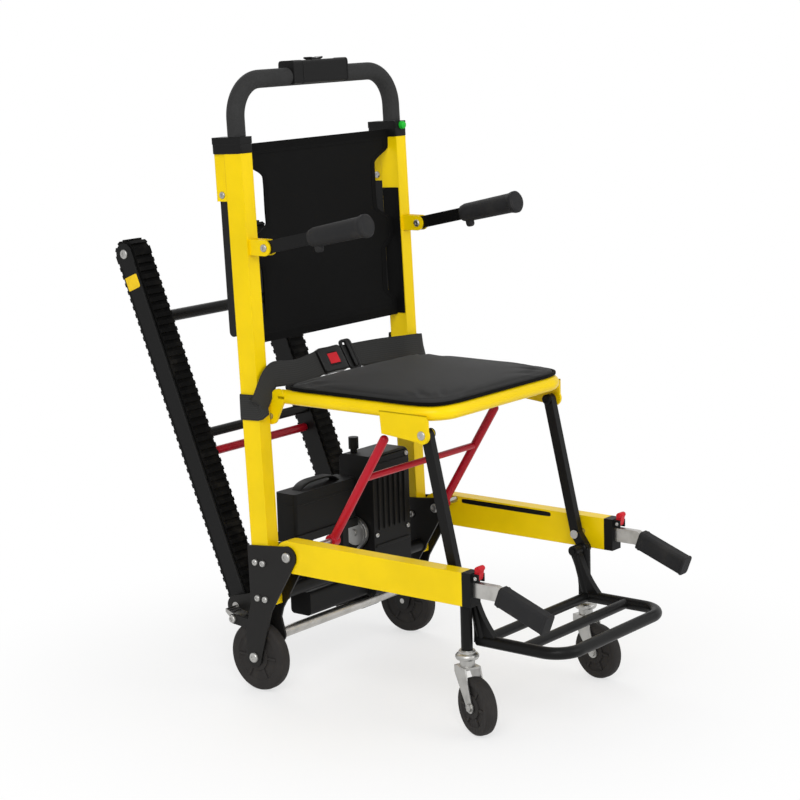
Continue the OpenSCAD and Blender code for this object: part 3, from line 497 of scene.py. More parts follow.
class Coat:
    """The finishes of this chair."""

    YELLOW = PowderCoat("yellow_coat", "yellow_paint", (250, 214, 2), 0.34, 1.6, 0.14,
                        (216, 172, 12), 0.06)
    BLACK = PowderCoat("black_coat", "black_paint", (13, 13, 13), 0.42, 1.2, 0.14,
                       (66, 66, 66), 0.03)
    RED = PowderCoat("red_coat", "red_paint", (182, 18, 40), 0.34, 1.0, 0.2, (112, 50, 54), 0.08)
    PLATE = PowderCoat("plate_coat", "black_paint", (26, 25, 24), 0.42, 0.9, 0.16,
                       (96, 94, 92), 0.03)
    STEEL = ZincSteel("zinc_steel", "steel", (176, 175, 172), 0.36, 0.7)
    BAR = ZincSteel("drawn_bar", "steel", (184, 182, 178), 0.34, 1.0, 0.5, (1.0, 0.05, 1.0))
    PLASTIC = MouldedPlastic("black_moulding", "black_plastic", (14, 14, 14), 0.5, 1.4, 0.15)
    SMOOTH = MouldedPlastic("smooth_moulding", "black_plastic", (13, 13, 13), 0.38, 1.0, 0.2,
                            1600.0)
    SIGNAL = MouldedPlastic("red_moulding", "red_plastic", (192, 20, 34), 0.38, 0.9, 0.2, 1500.0)
    GREEN = MouldedPlastic("green_moulding", "black_plastic", (26, 176, 46), 0.4, 0.6, 0.2, 1500.0)
    PATCH = MouldedPlastic("yellow_patch", "black_plastic", (236, 196, 34), 0.45, 0.4, 0.15, 1200.0)
    TRACK = Rubber("track_rubber", "rubber", (10, 10, 10), 0.66, 0.8, 0.08)
    GRIP = Rubber("grip_rubber", "rubber", (40, 40, 41), 0.6, 1.2, 0.12)
    TYRE = Rubber("tyre_rubber", "tyre", (48, 46, 45), 0.58, 1.0, 0.12, 3.2)
    SLEEVE = Foam("foam_sleeve", "rubber", (50, 50, 50), 0.74, 1.2, 0.08)
    BACK = WovenCloth("back_weave", "back_fabric", (14, 14, 14), 0.7, 1.2, 0.05,
                      "X", "Z", 1.3, 0.02)
    HEM = WovenCloth("hem_weave", "back_fabric", (11, 11, 11), 0.74, 1.2, 0.05,
                     "X", "Z", 1.0, 0.02)
    FLAP = WovenCloth("flap_weave", "back_fabric", (13, 13, 13), 0.7, 1.2, 0.05,
                      "Y", "Z", 1.3, 0.02)
    PAD = WovenCloth("pad_weave", "pad_fabric", (50, 50, 50), 0.7, 1.2, 0.08,
                     "X", "Y", 1.5, 0.04)
    BINDING = WovenCloth("binding_weave", "pad_fabric", (10, 10, 10), 0.72, 1.2, 0.05,
                         "X", "Y", 1.0, 0.02)
    BELT = Webbing("belt_webbing", "webbing", (52, 52, 51), 0.68, 1.2, 0.1)
    PAD_THREAD = Foam("pad_thread", "pad_fabric", (26, 26, 26), 0.7, 1.2, 0.05)
    THREAD = Foam("sewing_thread", "back_fabric", (34, 34, 34), 0.7, 1.2, 0.05)


def circle(parts: int) -> np.ndarray:
    """Even angles round a full turn."""
    return np.linspace(0.0, math.tau, parts, endpoint=False)


def bent(angle: np.ndarray, power: float | np.ndarray) -> tuple[np.ndarray, np.ndarray]:
    """Signed powers of an angle's cosine and sine, which trace a superellipse.

    Args:
        angle: Angles in radians.
        power: One for an ellipse, and less for a squarer outline.

    Returns:
        The bent cosines and sines.
    """
    c, s = np.cos(angle), np.sin(angle)
    return np.sign(c) * np.abs(c) ** power, np.sign(s) * np.abs(s) ** power


def ring_outline(width: float, height: float, parts: int = 12, sharp: float = 2.0) -> np.ndarray:
    """Closed outline of a superellipse.

    Args:
        width: Full size along the first axis.
        height: Full size along the second axis.
        parts: Number of points.
        sharp: Exponent, 2 for an ellipse and more for a rounded rectangle.

    Returns:
        Rows of two distances.
    """
    x, y = bent(circle(parts), 2.0 / sharp)
    return np.stack([x * width / 2, y * height / 2], -1)


def run_length(path: np.ndarray) -> np.ndarray:
    """Distance along a path at each of its rows."""
    steps = np.linalg.norm(np.diff(path[:, :3], axis=0), axis=1)
    return np.concatenate([[0.0], np.cumsum(steps)])


@dataclass
class Shell:
    """Points in millimetres, faces that join them, and a flat map for a weave that follows."""

    points: np.ndarray
    faces: list[tuple[int, ...]]
    flat: np.ndarray | None = None

    @staticmethod
    def grid(points: np.ndarray, wrap: bool = False, capped: bool = False) -> "Shell":
        """Surface over a grid of points.

        Args:
            points: Array of rows, columns and three coordinates.
            wrap: Whether the last column joins the first.
            capped: Whether the first and last rows are closed by a face.

        Returns:
            The surface.
        """
        rows, cols = points.shape[:2]
        spans = np.arange(cols if wrap else cols - 1)
        r, c = np.meshgrid(np.arange(rows - 1), spans, indexing="ij")
        this, below, after = r * cols, (r + 1) * cols, (c + 1) % cols
        quads = np.stack([this + c, this + after, below + after, below + c], -1)
        faces = [tuple(q) for q in quads.reshape(-1, 4).tolist()]
        if capped:
            faces.append(tuple(range(cols)))
            faces.append(tuple(range(rows * cols - 1, (rows - 1) * cols - 1, -1)))
        return Shell(points.reshape(-1, 3), faces)

    @staticmethod
    def slab(front: np.ndarray, back: np.ndarray) -> "Shell":
        """Closed body between two grids, walled along their rim.

        Args:
            front: Grid of one face.
            back: Grid of the other face, of the same size.

        Returns:
            The body.
        """
        rows, cols = front.shape[:2]
        index = np.arange(rows * cols).reshape(rows, cols)
        rim = np.concatenate([index[0, :-1], index[:-1, -1], index[-1, :0:-1], index[:0:-1, 0]])
        after = np.roll(rim, -1)
        body = Shell.grid(front) + Shell.grid(back)
        walls = np.stack([rim, after, after + rows * cols, rim + rows * cols], -1)
        body.faces += [tuple(w) for w in walls.tolist()]
        return body

    @staticmethod
    def turned(profile: Sequence[Pair], parts: int = 32) -> "Shell":
        """Profile carried round the Z axis.

        Args:
            profile: Radii and heights, which start and end on the axis.
            parts: Steps round the axis.

        Returns:
            The closed surface.
        """
        p = np.asarray(profile, float)
        a = circle(parts)
        heights = np.repeat(p[:, 1:], parts, 1)
        points = np.stack([p[:, :1] * np.cos(a), p[:, :1] * np.sin(a), heights], -1)
        return Shell.grid(points, wrap=True)

    @staticmethod
    def pillow(size: Triple, sharp: float = 6.0, rows: int = 16, cols: int = 28) -> "Shell":
        """Rounded box: a superellipsoid, whose half sizes follow powers of sine and cosine.

        Args:
            size: Full sizes along X, Y and Z.
            sharp: Exponent, 2 for an ellipsoid and more for a squarer box.
            rows: Rings from pole to pole.
            cols: Points on a ring.

        Returns:
            The closed surface about the origin.
        """
        power = 2.0 / sharp
        reach, rise = bent(np.linspace(-math.pi / 2, math.pi / 2, rows)[:, None], power)
        x, y = bent(circle(cols)[None, :], power)
        points = np.stack(np.broadcast_arrays(reach * x, reach * y, rise), -1)
        return Shell.grid(points * np.asarray(size) / 2.0, wrap=True)

    @staticmethod
    def swept(path: np.ndarray, profile: np.ndarray, wide: Sequence[float] | np.ndarray,
              closed: bool = False) -> "Shell":
        """Profile carried along a path.

        Args:
            path: Points of the path.
            profile: Closed outline as distances along the wide direction and across it.
            wide: Direction of the profile's first axis at each point, or one for all.
            closed: Whether the path returns to its start.

        Returns:
            The tube, with its ends closed and a flat map of length and width in metres.
        """
        if closed:
            path = np.concatenate([path, path[:1]])
        run = np.gradient(path, axis=0)
        if closed:
            run[0] = run[-1] = path[1] - path[-2]
        run /= np.linalg.norm(run, axis=1, keepdims=True)
        first = np.broadcast_to(wide, path.shape)
        first = first - np.sum(first * run, axis=1, keepdims=True) * run
        first /= np.linalg.norm(first, axis=1, keepdims=True)
        second = np.cross(run, first)
        points = (path[:, None] + first[:, None] * profile[None, :, :1]
                  + second[:, None] * profile[None, :, 1:])
        shell = Shell.grid(points, wrap=True, capped=not closed)
        flat = np.stack(np.broadcast_arrays(run_length(path)[:, None], profile[None, :, 0]), -1)
        shell.flat = flat.reshape(-1, 2) * MM
        return shell

    @staticmethod
    def hoop(size: Pair, sharp: float, bead: np.ndarray, parts: int = 48) -> "Shell":
        """Bead carried round a superellipse in the plane of X and Y.

        Args:
            size: Full sizes of the superellipse.
            sharp: Its exponent.
            bead: Outline of the bead, along Z and across it.
            parts: Steps round it.

        Returns:
            The closed ring about the origin.
        """
        loop = np.pad(ring_outline(*size, parts, sharp), ((0, 0), (0, 1)))
        return Shell.swept(loop, bead, UPWARD, closed=True)

    def __add__(self, other: "Shell") -> "Shell":
        """Both shells in one."""
        base = len(self.points)
        flat = None
        if self.flat is not None and other.flat is not None:
            flat = np.concatenate([self.flat, other.flat])
        return Shell(np.concatenate([self.points, other.points]),
                     self.faces + [tuple(i + base for i in f) for f in other.faces], flat)

    def moved(self, offset: Sequence[float]) -> "Shell":
        """Copy shifted by an offset."""
        return Shell(self.points + np.asarray(offset, float), self.faces, self.flat)

    def facing(self, axis: Sequence[float], up: Sequence[float] = UPWARD) -> "Shell":
        """Copy turned about the origin.

        Args:
            axis: Direction that its Z takes.
            up: Direction that its Y leans towards.

        Returns:
            The turned copy.
        """
        z = np.asarray(axis, float) / np.linalg.norm(axis)
        y = np.asarray(up, float) - np.dot(up, z) * z
        if np.linalg.norm(y) < 1e-6:
            y = np.array([1.0, 0.0, 0.0]) - z[0] * z
        y /= np.linalg.norm(y)
        return Shell(self.points @ np.stack([np.cross(y, z), y, z]), self.faces, self.flat)

    @staticmethod
    def joined(shells: Sequence["Shell"]) -> "Shell":
        """Many shells in one."""
        total = shells[0]
        for shell in shells[1:]:
            total = total + shell
        return total


def rounded_path(corners: np.ndarray, cut: np.ndarray, steps: int = 9,
                 most: float = 0.48) -> np.ndarray:
    """Open path whose corners are replaced by parabolas.

    Args:
        corners: Rows of values, the first three of them a place.
        cut: Distance from each corner at which its parabola starts.
        steps: Points on each parabola.
        most: Largest share of a run that a cut may take.

    Returns:
        Rows along the rounded path.
    """
    before, at, after = corners[:-2], corners[1:-1], corners[2:]
    left = np.linalg.norm((at - before)[:, :3], axis=1)
    right = np.linalg.norm((after - at)[:, :3], axis=1)
    take = np.minimum(cut[1:-1], most * np.minimum(left, right))[:, None]
    start = at + (before - at) * take / left[:, None]
    end = at + (after - at) * take / right[:, None]
    t = np.linspace(0.0, 1.0, steps)[None, :, None]
    bends = ((1 - t) ** 2 * start[:, None] + 2 * t * (1 - t) * at[:, None]
             + t ** 2 * end[:, None])
    return np.concatenate([corners[:1], bends.reshape(-1, corners.shape[1]), corners[-1:]])


def resampled(path: np.ndarray, spacing: float) -> np.ndarray:
    """Rows of a path at even distances.

    Args:
        path: Rows of values, the first three of them a place.
        spacing: About the distance between rows.

    Returns:
        The even rows.
    """
    length = run_length(path)
    at = np.linspace(0.0, length[-1], max(2, int(round(length[-1] / spacing)) + 1))
    return np.stack([np.interp(at, length, path[:, k]) for k in range(path.shape[1])], -1)


def stitches(path: np.ndarray, face: Sequence[float], pitch: float = 5.5, long: float = 3.8,
             thick: float = 0.9) -> Shell:
    """Row of sewn stitches: small spindles laid along a path, proud of its face.

    Args:
        path: Places along the seam.
        face: Direction out of the cloth.
        pitch: Distance from stitch to stitch.
        long: Length of a stitch.
        thick: Thickness of a stitch.

    Returns:
        The stitches.
    """
    row = resampled(path, pitch)
    mid = (row[1:] + row[:-1]) / 2
    run = row[1:] - row[:-1]
    run = run / np.linalg.norm(run, axis=1, keepdims=True)
    out = np.broadcast_to(np.asarray(face, float), run.shape)
    end, side, out = run * long / 2, np.cross(run, out) * thick / 2, out * thick / 2
    points = mid[:, None] + np.stack([end, side, out, -side, -out, -end], 1)
    base = np.array([(0, 1, 2), (0, 2, 3), (0, 3, 4), (0, 4, 1),
                     (5, 2, 1), (5, 3, 2), (5, 4, 3), (5, 1, 4)])
    faces = base[None] + 6 * np.arange(len(mid))[:, None, None]
    return Shell(points.reshape(-1, 3), [tuple(f) for f in faces.reshape(-1, 3).tolist()])


@dataclass(frozen=True)
class Places:
    """Main places of the solids: pairs are y and z in the side view, triples x, y and z."""

    post_x: float = 214.0
    inner_x: float = 200.0
    half_w: float = 228.0
    plate_t: float = 4.0
    post_foot: Pair = (124.0, 165.0)
    post_lean: float = 2.0
    post_d: float = 40.0
    bolt_half: float = 9.0
    bolt_up: Pair = (12.0, 78.0)
    rail_rear: Pair = (61.0, 262.0)
    seat_front: Pair = (-221.0, 505.0)
    wheel: Pair = (149.0, 63.5)
    wheel_d: float = 127.0
    brake: Pair = (197.45, 127.79)
    drive: Pair = (220.0, 140.0)
    track_tilt: float = 22.0
    track_len: float = 682.0
    arm: Pair = (92.42, 807.0)
    lever: Pair = (-346.0, 283.0)
    stem: Triple = (180.0, -293.0, 142.0)
    caster_d: float = 100.0
    caster_trail: float = 30.0
    caster_swing: Pair = (-22.0, -10.0)

    def leant(self, points: Sequence[Any] | np.ndarray, foot: Pair, lean: float) -> np.ndarray:
        """Places in a frame that stands on a foot and leans.

        Args:
            points: Places in that frame.
            foot: The foot, as y and z.
            lean: Degrees to the rear.

        Returns:
            Places in the chair's frame.
        """
        a = math.radians(lean)
        x, y, z = np.moveaxis(np.asarray(points, float), -1, 0)
        return np.stack([x, foot[0] + y * math.cos(a) + z * math.sin(a),
                         foot[1] - y * math.sin(a) + z * math.cos(a)], -1)

    def on_post(self, points: Sequence[Any] | np.ndarray) -> np.ndarray:
        """Places in the leaning frame of the back posts."""
        return self.leant(points, self.post_foot, self.post_lean)

    def on_track(self, points: Sequence[Any] | np.ndarray) -> np.ndarray:
        """Places in the leaning frame of the tracks."""
        return self.leant(points, self.drive, self.track_tilt)

    @staticmethod
    def up_at(lean: float) -> np.ndarray:
        """Direction up something that leans to the rear by degrees."""
        a = math.radians(lean)
        return np.array([0.0, math.sin(a), math.cos(a)])

    def post_bolts(self) -> list[Pair]:
        """Bolts through a post's foot, as y and z."""
        slope = math.tan(math.radians(self.post_lean))
        return [(self.post_foot[0] + up * slope + across, self.post_foot[1] + up)
                for across in (-self.bolt_half, self.bolt_half) for up in self.bolt_up]

    def caster(self, side: Side) -> tuple[np.ndarray, np.ndarray]:
        """Middle of a caster's wheel, and the direction of its axle."""
        a = math.radians(self.caster_swing[side is Side.LEFT])
        axle = np.array([math.cos(a), math.sin(a), 0.0])
        mid = np.array([side.value * self.stem[0] + self.caster_trail * axle[1],
                        self.stem[1] - self.caster_trail * axle[0], self.caster_d / 2])
        return mid, axle


def placed(name: str, data: bpy.types.ID,
           columns: Sequence[np.ndarray] | None = None) -> bpy.types.Object:
    """Put data into the scene.

    Args:
        name: Name of the object.
        data: Its mesh, lamp or camera.
        columns: Directions of its X, Y and Z, and its place in metres.

    Returns:
        The object.
    """
    made = bpy.data.objects.new(name, data)
    if columns is not None:
        matrix = np.eye(4)
        matrix[:3] = np.stack(columns, -1)
        made.matrix_world = Matrix(matrix.tolist())
    bpy.context.scene.collection.objects.link(made)
    return made


def coordinates(mesh: bpy.types.Mesh) -> np.ndarray:
    """Places of a mesh's points, in metres."""
    flat = np.zeros(len(mesh.vertices) * 3)
    mesh.vertices.foreach_get("co", flat)
    return flat.reshape(-1, 3)


def smooth(mesh: bpy.types.Mesh) -> None:
    """Shade every face of a mesh smooth."""
    mesh.polygons.foreach_set("use_smooth", np.ones(len(mesh.polygons), bool))


class Workshop:
    """Makes pieces out of shells and finishes the solids that stay."""

    def __init__(self, frame: dict[str, Any], places: Places) -> None:
        """Keep the loaded frame and the places."""
        self.frame = frame
        self.places = places

    def piece(self, name: str, shell: Shell, finish: Finish, body: str,
              crease: float = 40.0) -> bpy.types.Object:
        """Make one piece that rides on a body.

        Args:
            name: Name of the piece.
            shell: Its shape, in millimetres.
            finish: Its finish.
            body: Body that carries it.
            crease: Angle in degrees past which an edge stays sharp.

        Returns:
            The piece, at the origin.
        """
        mesh = bpy.data.meshes.new(name)
        mesh.from_pydata((shell.points * MM).tolist(), [], shell.faces)
        if shell.flat is not None:
            layer = mesh.uv_layers.new(name="strip")
            corner = np.zeros(len(mesh.loops), np.int32)
            mesh.loops.foreach_get("vertex_index", corner)
            layer.data.foreach_set("uv", shell.flat[corner].astype(np.float32).ravel())
        work = bmesh.new()
        work.from_mesh(mesh)
        bmesh.ops.remove_doubles(work, verts=work.verts, dist=1e-6)
        bmesh.ops.dissolve_degenerate(work, edges=work.edges, dist=1e-7)
        bmesh.ops.recalc_face_normals(work, faces=work.faces)
        work.to_mesh(mesh)
        work.free()
        smooth(mesh)
        mesh.set_sharp_from_angle(angle=math.radians(crease))
        mesh.materials.append(finish.material())
        made = placed(name, mesh)
        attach(made, body)
        LOG.info("%s: %d faces on %s", name, len(mesh.polygons), body)
        return made

    def coat(self, finish: Finish, *nodes: str) -> None:
        """Give a finish to solids that stay."""
        for node in nodes:
            data = self.frame["nodes"][node].data
            data.materials.clear()
            data.materials.append(finish.material())


def both(*names: str) -> tuple[str, ...]:
    """Names of the right and the left one of each thing."""
    return tuple(f"{side.word}_{name}" for name in names for side in Side)


class Solids:
    """The solids that show as they are, and their finishes."""

    BY_FINISH: tuple[tuple[Finish, tuple[str, ...]], ...] = (
        (Coat.YELLOW, ("back_posts", "rear_handle_brackets", "arm_brackets", "seat_frame",
                       "seat_brackets", "base_rails")),
        (Coat.PLATE, ("wheel_brackets",)),
        (Coat.BLACK, ("cross_tube", "front_legs", "footrest", *both("arm"), "track_frames",
                      "track_crossbars", "battery_tray")),
        (Coat.RED, ("strut_frame", "track_release_bar")),
        (Coat.STEEL, ("bracket_bolts", "frame_pins", "rail_pins", "push_handle", "drive_shaft",
                      "motor_sprocket", "drive_chain", "motor",
                      *both("caster_fork", "brake_pedal"))),
        (Coat.BAR, (*both("lift_bar"), "rear_bar")),
        (Coat.PLASTIC, ("post_caps", "control_box", "rail_end_caps", "battery_pack",
                        "drive_housing", "drive_knob")),
        (Coat.SMOOTH, ("drive_pulleys", "idler_pulleys", *both("rear_handle"), "belt_buckle",
                       "direction_rocker")),
        (Coat.SIGNAL, ("buckle_button", *both("release_lever"))),
        (Coat.TRACK, ("track_belts",)),
        (Coat.GRIP, both("arm_grip", "lift_grip")),
        (Coat.SLEEVE, ("handle_sleeve",)),
        (Coat.TYRE, both("rear_wheel", "caster_wheel")),
        (Coat.BACK, ("back_cloth",)),
        (Coat.PAD, ("seat_cushion",)),
        (Coat.BELT, ("seat_belt",)),
    )

    def dress(self, shop: Workshop) -> None:
        """Coat every solid."""
        for finish, nodes in self.BY_FINISH:
            shop.coat(finish, *nodes)


@dataclass(frozen=True)
class Lamp:
    """Square soft lamp aimed at the middle of the chair, in metres and watts."""

    name: str
    at: Triple
    watts: float
    size: float
    aim: Triple = (0.0, 0.0, 0.55)

    def build(self) -> None:
        """Hang the lamp."""
        data = bpy.data.lights.new(self.name, "AREA")
        data.energy = self.watts
        data.size = self.size
        z = np.asarray(self.at) - np.asarray(self.aim)
        z /= np.linalg.norm(z)
        x = np.cross(UPWARD, z)
        x /= np.linalg.norm(x)
        placed(self.name, data, [x, np.cross(z, x), z, np.asarray(self.at)])


@dataclass
class Studio:
    """Camera at the photograph's angle, a pale floor and soft light."""

    azimuth: float = -51.1629
    elevation: float = 10.841
    roll: float = -1.732
    distance: float = 4152.681
    focal_px: float = 2115.239
    frame_px: float = 800.0
    sensor: float = 36.0
    target: Triple = (266.0756, 195.0122, 448.1425)
    floor_rings: tuple[float, ...] = (0.0, 0.6, 1.2, 2.5, 6.0, 14.0)
    floor_z: float = -0.0005
    floor_tones: Pair = (0.93, 0.95)
    fade: Pair = (0.25, 0.95)
    glow: float = 0.62
    sky: float = 0.5
    lamps: tuple[Lamp, ...] = (Lamp("key_lamp", (-3.2, -2.2, 3.0), 95.0, 2.4),
                               Lamp("fill_lamp", (1.2, -4.0, 2.2), 42.0, 2.6),
                               Lamp("back_lamp", (1.8, 3.4, 3.0), 50.0, 2.4))

    def camera(self) -> None:
        """Place the camera from its angles about the target."""
        a, e, r = (math.radians(v) for v in (self.azimuth, self.elevation, self.roll))
        back = np.array([math.sin(a) * math.cos(e), -math.cos(a) * math.cos(e), math.sin(e)])
        right = np.array([math.cos(a), math.sin(a), 0.0])
        up = np.cross(back, right)
        tilted_right = math.cos(r) * right + math.sin(r) * up
        tilted_up = math.cos(r) * up - math.sin(r) * right
        eye = (np.asarray(self.target) + back * self.distance) * MM
        data = bpy.data.cameras.new("photo_camera")
        data.sensor_width = self.sensor
        data.lens = self.focal_px * self.sensor / self.frame_px
        data.clip_end = 50.0
        made = placed("photo_camera", data, [tilted_right, tilted_up, back, eye])
        bpy.context.scene.camera = made

    def floor(self) -> None:
        """Pale floor that keeps the soft shadow near the wheels and runs out into white."""
        a = circle(64)
        radii = np.array(self.floor_rings)[:, None]
        level = np.full((len(radii), len(a)), self.floor_z)
        shell = Shell.grid(np.stack([radii * np.cos(a), radii * np.sin(a), level], -1), wrap=True)
        mesh = bpy.data.meshes.new("studio_floor")
        mesh.from_pydata(shell.points.tolist(), [], shell.faces)
        made = placed("studio_floor", mesh)
        g = Graph("studio_floor")
        low, high = ((tone, tone, tone, 1.0) for tone in self.floor_tones)
        g.set(Base_Color=g.tint(g.noise(3.0), low, high), Roughness=0.9)
        place = g.place()
        x, y = g.axis("X", place), g.axis("Y", place)
        far = ((x * x + y * y) ** 0.5).ease(*self.fade)
        share = (self.glow + (1.0 - self.glow) * far) * g.seen_ray()
        glow = g.node("ShaderNodeEmission", {}, {"Color": WHITE, "Strength": 1.0})
        g.end(g.node("ShaderNodeMixShader", {}, {0: share, 1: g.lit(), 2: glow}))
        mesh.materials.append(g.material)

    def world(self) -> None:
        """White where it is seen, and an even soft light elsewhere."""
        world = bpy.data.worlds.new("studio_world")
        nodes = Nodes(world, "ShaderNodeOutputWorld")
        level = nodes.node("ShaderNodeMapRange", {}, {"Value": nodes.seen_ray(),
                                                      "To Min": self.sky, "To Max": 1.0})
        nodes.end(nodes.node("ShaderNodeBackground", {}, {"Color": WHITE, "Strength": level}))
        bpy.context.scene.world = world

    def build(self) -> None:
        """Set up camera, floor, world and lamps."""
        bpy.context.scene.view_settings.view_transform = "Standard"
        self.camera()
        self.floor()
        self.world()
        for lamp in self.lamps:
            lamp.build()


@dataclass
class SeatPad:
    """Thin dark pad on the seat tube, with a bound edge and a sewn border."""

    half_x: float = 192.5
    front_y: float = -253.0
    back_y: float = 92.0
    base_z: float = 553.1
    rim: float = 10.0
    crown: float = 7.0
    fall: float = 2.6
    flat_share: float = 0.96
    cap: float = 4.5
    drawn: float = 0.014
    voxel: float = 5.0
    held_under: float = 2.0
    pressure: float = 4.0
    steps: int = 20
    square: Triple = (9.0, 2.0, 4.0)
    binding: Pair = (6.4, 4.2)
    binding_z: float = 3.4
    binding_share: float = 1.002
    seams: Pair = (0.925, 0.94)

    def outline(self, angle: np.ndarray, share: float = 1.0) -> np.ndarray:
        """Rim of the pad: a superellipse, rounder at the front, its sides drawn in.

        Args:
            angle: Angles round the middle.
            share: Scale of the outline about its middle.

        Returns:
            Rows of x and y.
        """
        mean, swing, step = self.square
        x, y = bent(angle, 2.0 / (mean + swing * np.tanh(step * np.sin(angle))))
        half_y = (self.back_y - self.front_y) / 2
        wide = self.half_x * x * (1.0 - self.drawn * (1.0 - y ** 2))
        deep = half_y * y * (1.0 - self.drawn * (1.0 - x ** 2))
        return np.stack([wide * share, (self.back_y + self.front_y) / 2 + deep * share], -1)

    def shell(self) -> Shell:
        """Profile of a crowned top, a rolled edge and a flat base, carried round the outline."""
        top = np.linspace(0.0, self.flat_share, 24)
        roll = np.linspace(0.0, math.pi, 9)[1:]
        low = np.linspace(self.flat_share, 0.0, 14)[1:]
        edge = self.flat_share + (1.0 - self.flat_share) * np.sin(roll)
        reach = np.concatenate([top, edge, low])
        dome = self.rim + self.crown * (1.0 - (top / self.flat_share) ** self.fall)
        height = np.concatenate([dome, self.rim / 2 * (1.0 + np.cos(roll)), np.zeros(len(low))])
        mid = np.array([0.0, (self.back_y + self.front_y) / 2])
        flat = mid + (self.outline(circle(160)) - mid)[None] * reach[:, None, None]
        z = np.broadcast_to(self.base_z + height[:, None, None], flat.shape[:2] + (1,))
        return Shell.grid(np.concatenate([flat, z], -1), wrap=True)

    def swell(self, pad: bpy.types.Object) -> None:
        """Fill the pad by a cloth simulation under pressure, its base held, and keep the result.

        Args:
            pad: The pad, whose mesh is replaced.
        """
        remesh = pad.modifiers.new("remesh", "REMESH")
        remesh.mode = "VOXEL"
        remesh.voxel_size = self.voxel * MM
        graph = bpy.context.evaluated_depsgraph_get()
        even = bpy.data.meshes.new_from_object(pad.evaluated_get(graph))
        pad.modifiers.clear()
        pad.data = even
        rest = coordinates(even)
        base = np.flatnonzero(rest[:, 2] < (self.base_z + self.held_under) * MM)
        held = pad.vertex_groups.new(name="held")
        held.add(base.tolist(), 1.0, "REPLACE")
        cloth = pad.modifiers.new("cloth", "CLOTH")
        cloth.settings.use_pressure = True
        cloth.settings.uniform_pressure_force = self.pressure
        cloth.settings.effector_weights.gravity = 0.0
        cloth.settings.vertex_group_mass = "held"
        cloth.settings.quality = 5
        for step in range(self.steps):
            bpy.context.scene.frame_set(step + 1)
        graph = bpy.context.evaluated_depsgraph_get()
        full = bpy.data.meshes.new_from_object(pad.evaluated_get(graph))
        move = coordinates(full) - rest
        far = np.linalg.norm(move, axis=1, keepdims=True)
        move *= np.minimum(1.0, self.cap * MM / np.maximum(far, 1e-9))
        move[:, 2] = np.maximum(move[:, 2], 0.0)
        full.vertices.foreach_set("co", (rest + move).astype(np.float32).ravel())
        pad.modifiers.clear()
        pad.data = full
        pad.vertex_groups.clear()
        bpy.context.scene.frame_set(1)
        smooth(full)

    def build(self, shop: Workshop) -> None:
        """Make the pad, its binding and its sewn border."""
        pad = shop.piece("seat_pad", self.shell(), Coat.PAD, "seat", 80.0)
        self.swell(pad)
        fine = pad.modifiers.new("fine", "SUBSURF")
        fine.levels = fine.render_levels = 1
        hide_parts("seat_cushion")
        rim = self.outline(circle(200), self.binding_share)
        rim = np.concatenate([rim, np.full((len(rim), 1), self.base_z + self.binding_z)], -1)
        edge = Shell.swept(rim, ring_outline(*self.binding, 10, 3.0), UPWARD, closed=True)
        shop.piece("seat_binding", edge, Coat.BINDING, "seat", 80.0)
        rows = [stitches(self.laid(pad, share), UPWARD) for share in self.seams]
        shop.piece("seat_stitches", Shell.joined(rows), Coat.PAD_THREAD, "seat")

    def laid(self, pad: bpy.types.Object, share: float) -> np.ndarray:
        """Closed line on the pad's top, at the mean height of the nearest points of its mesh.

        Args:
            pad: The pad.
            share: Scale of the line against the outline.

        Returns:
            Places along the line.
        """
        points = coordinates(pad.data) / MM
        points = points[points[:, 2] > self.base_z + 0.6 * self.rim]
        line = self.outline(np.linspace(0.0, math.tau, 240), share)
        far = np.sum((line[:, None] - points[None, :, :2]) ** 2, -1)
        near = np.argsort(far, axis=1)[:, :4]
        return np.concatenate([line, np.mean(points[near, 2], axis=1)[:, None] + 0.1], -1)


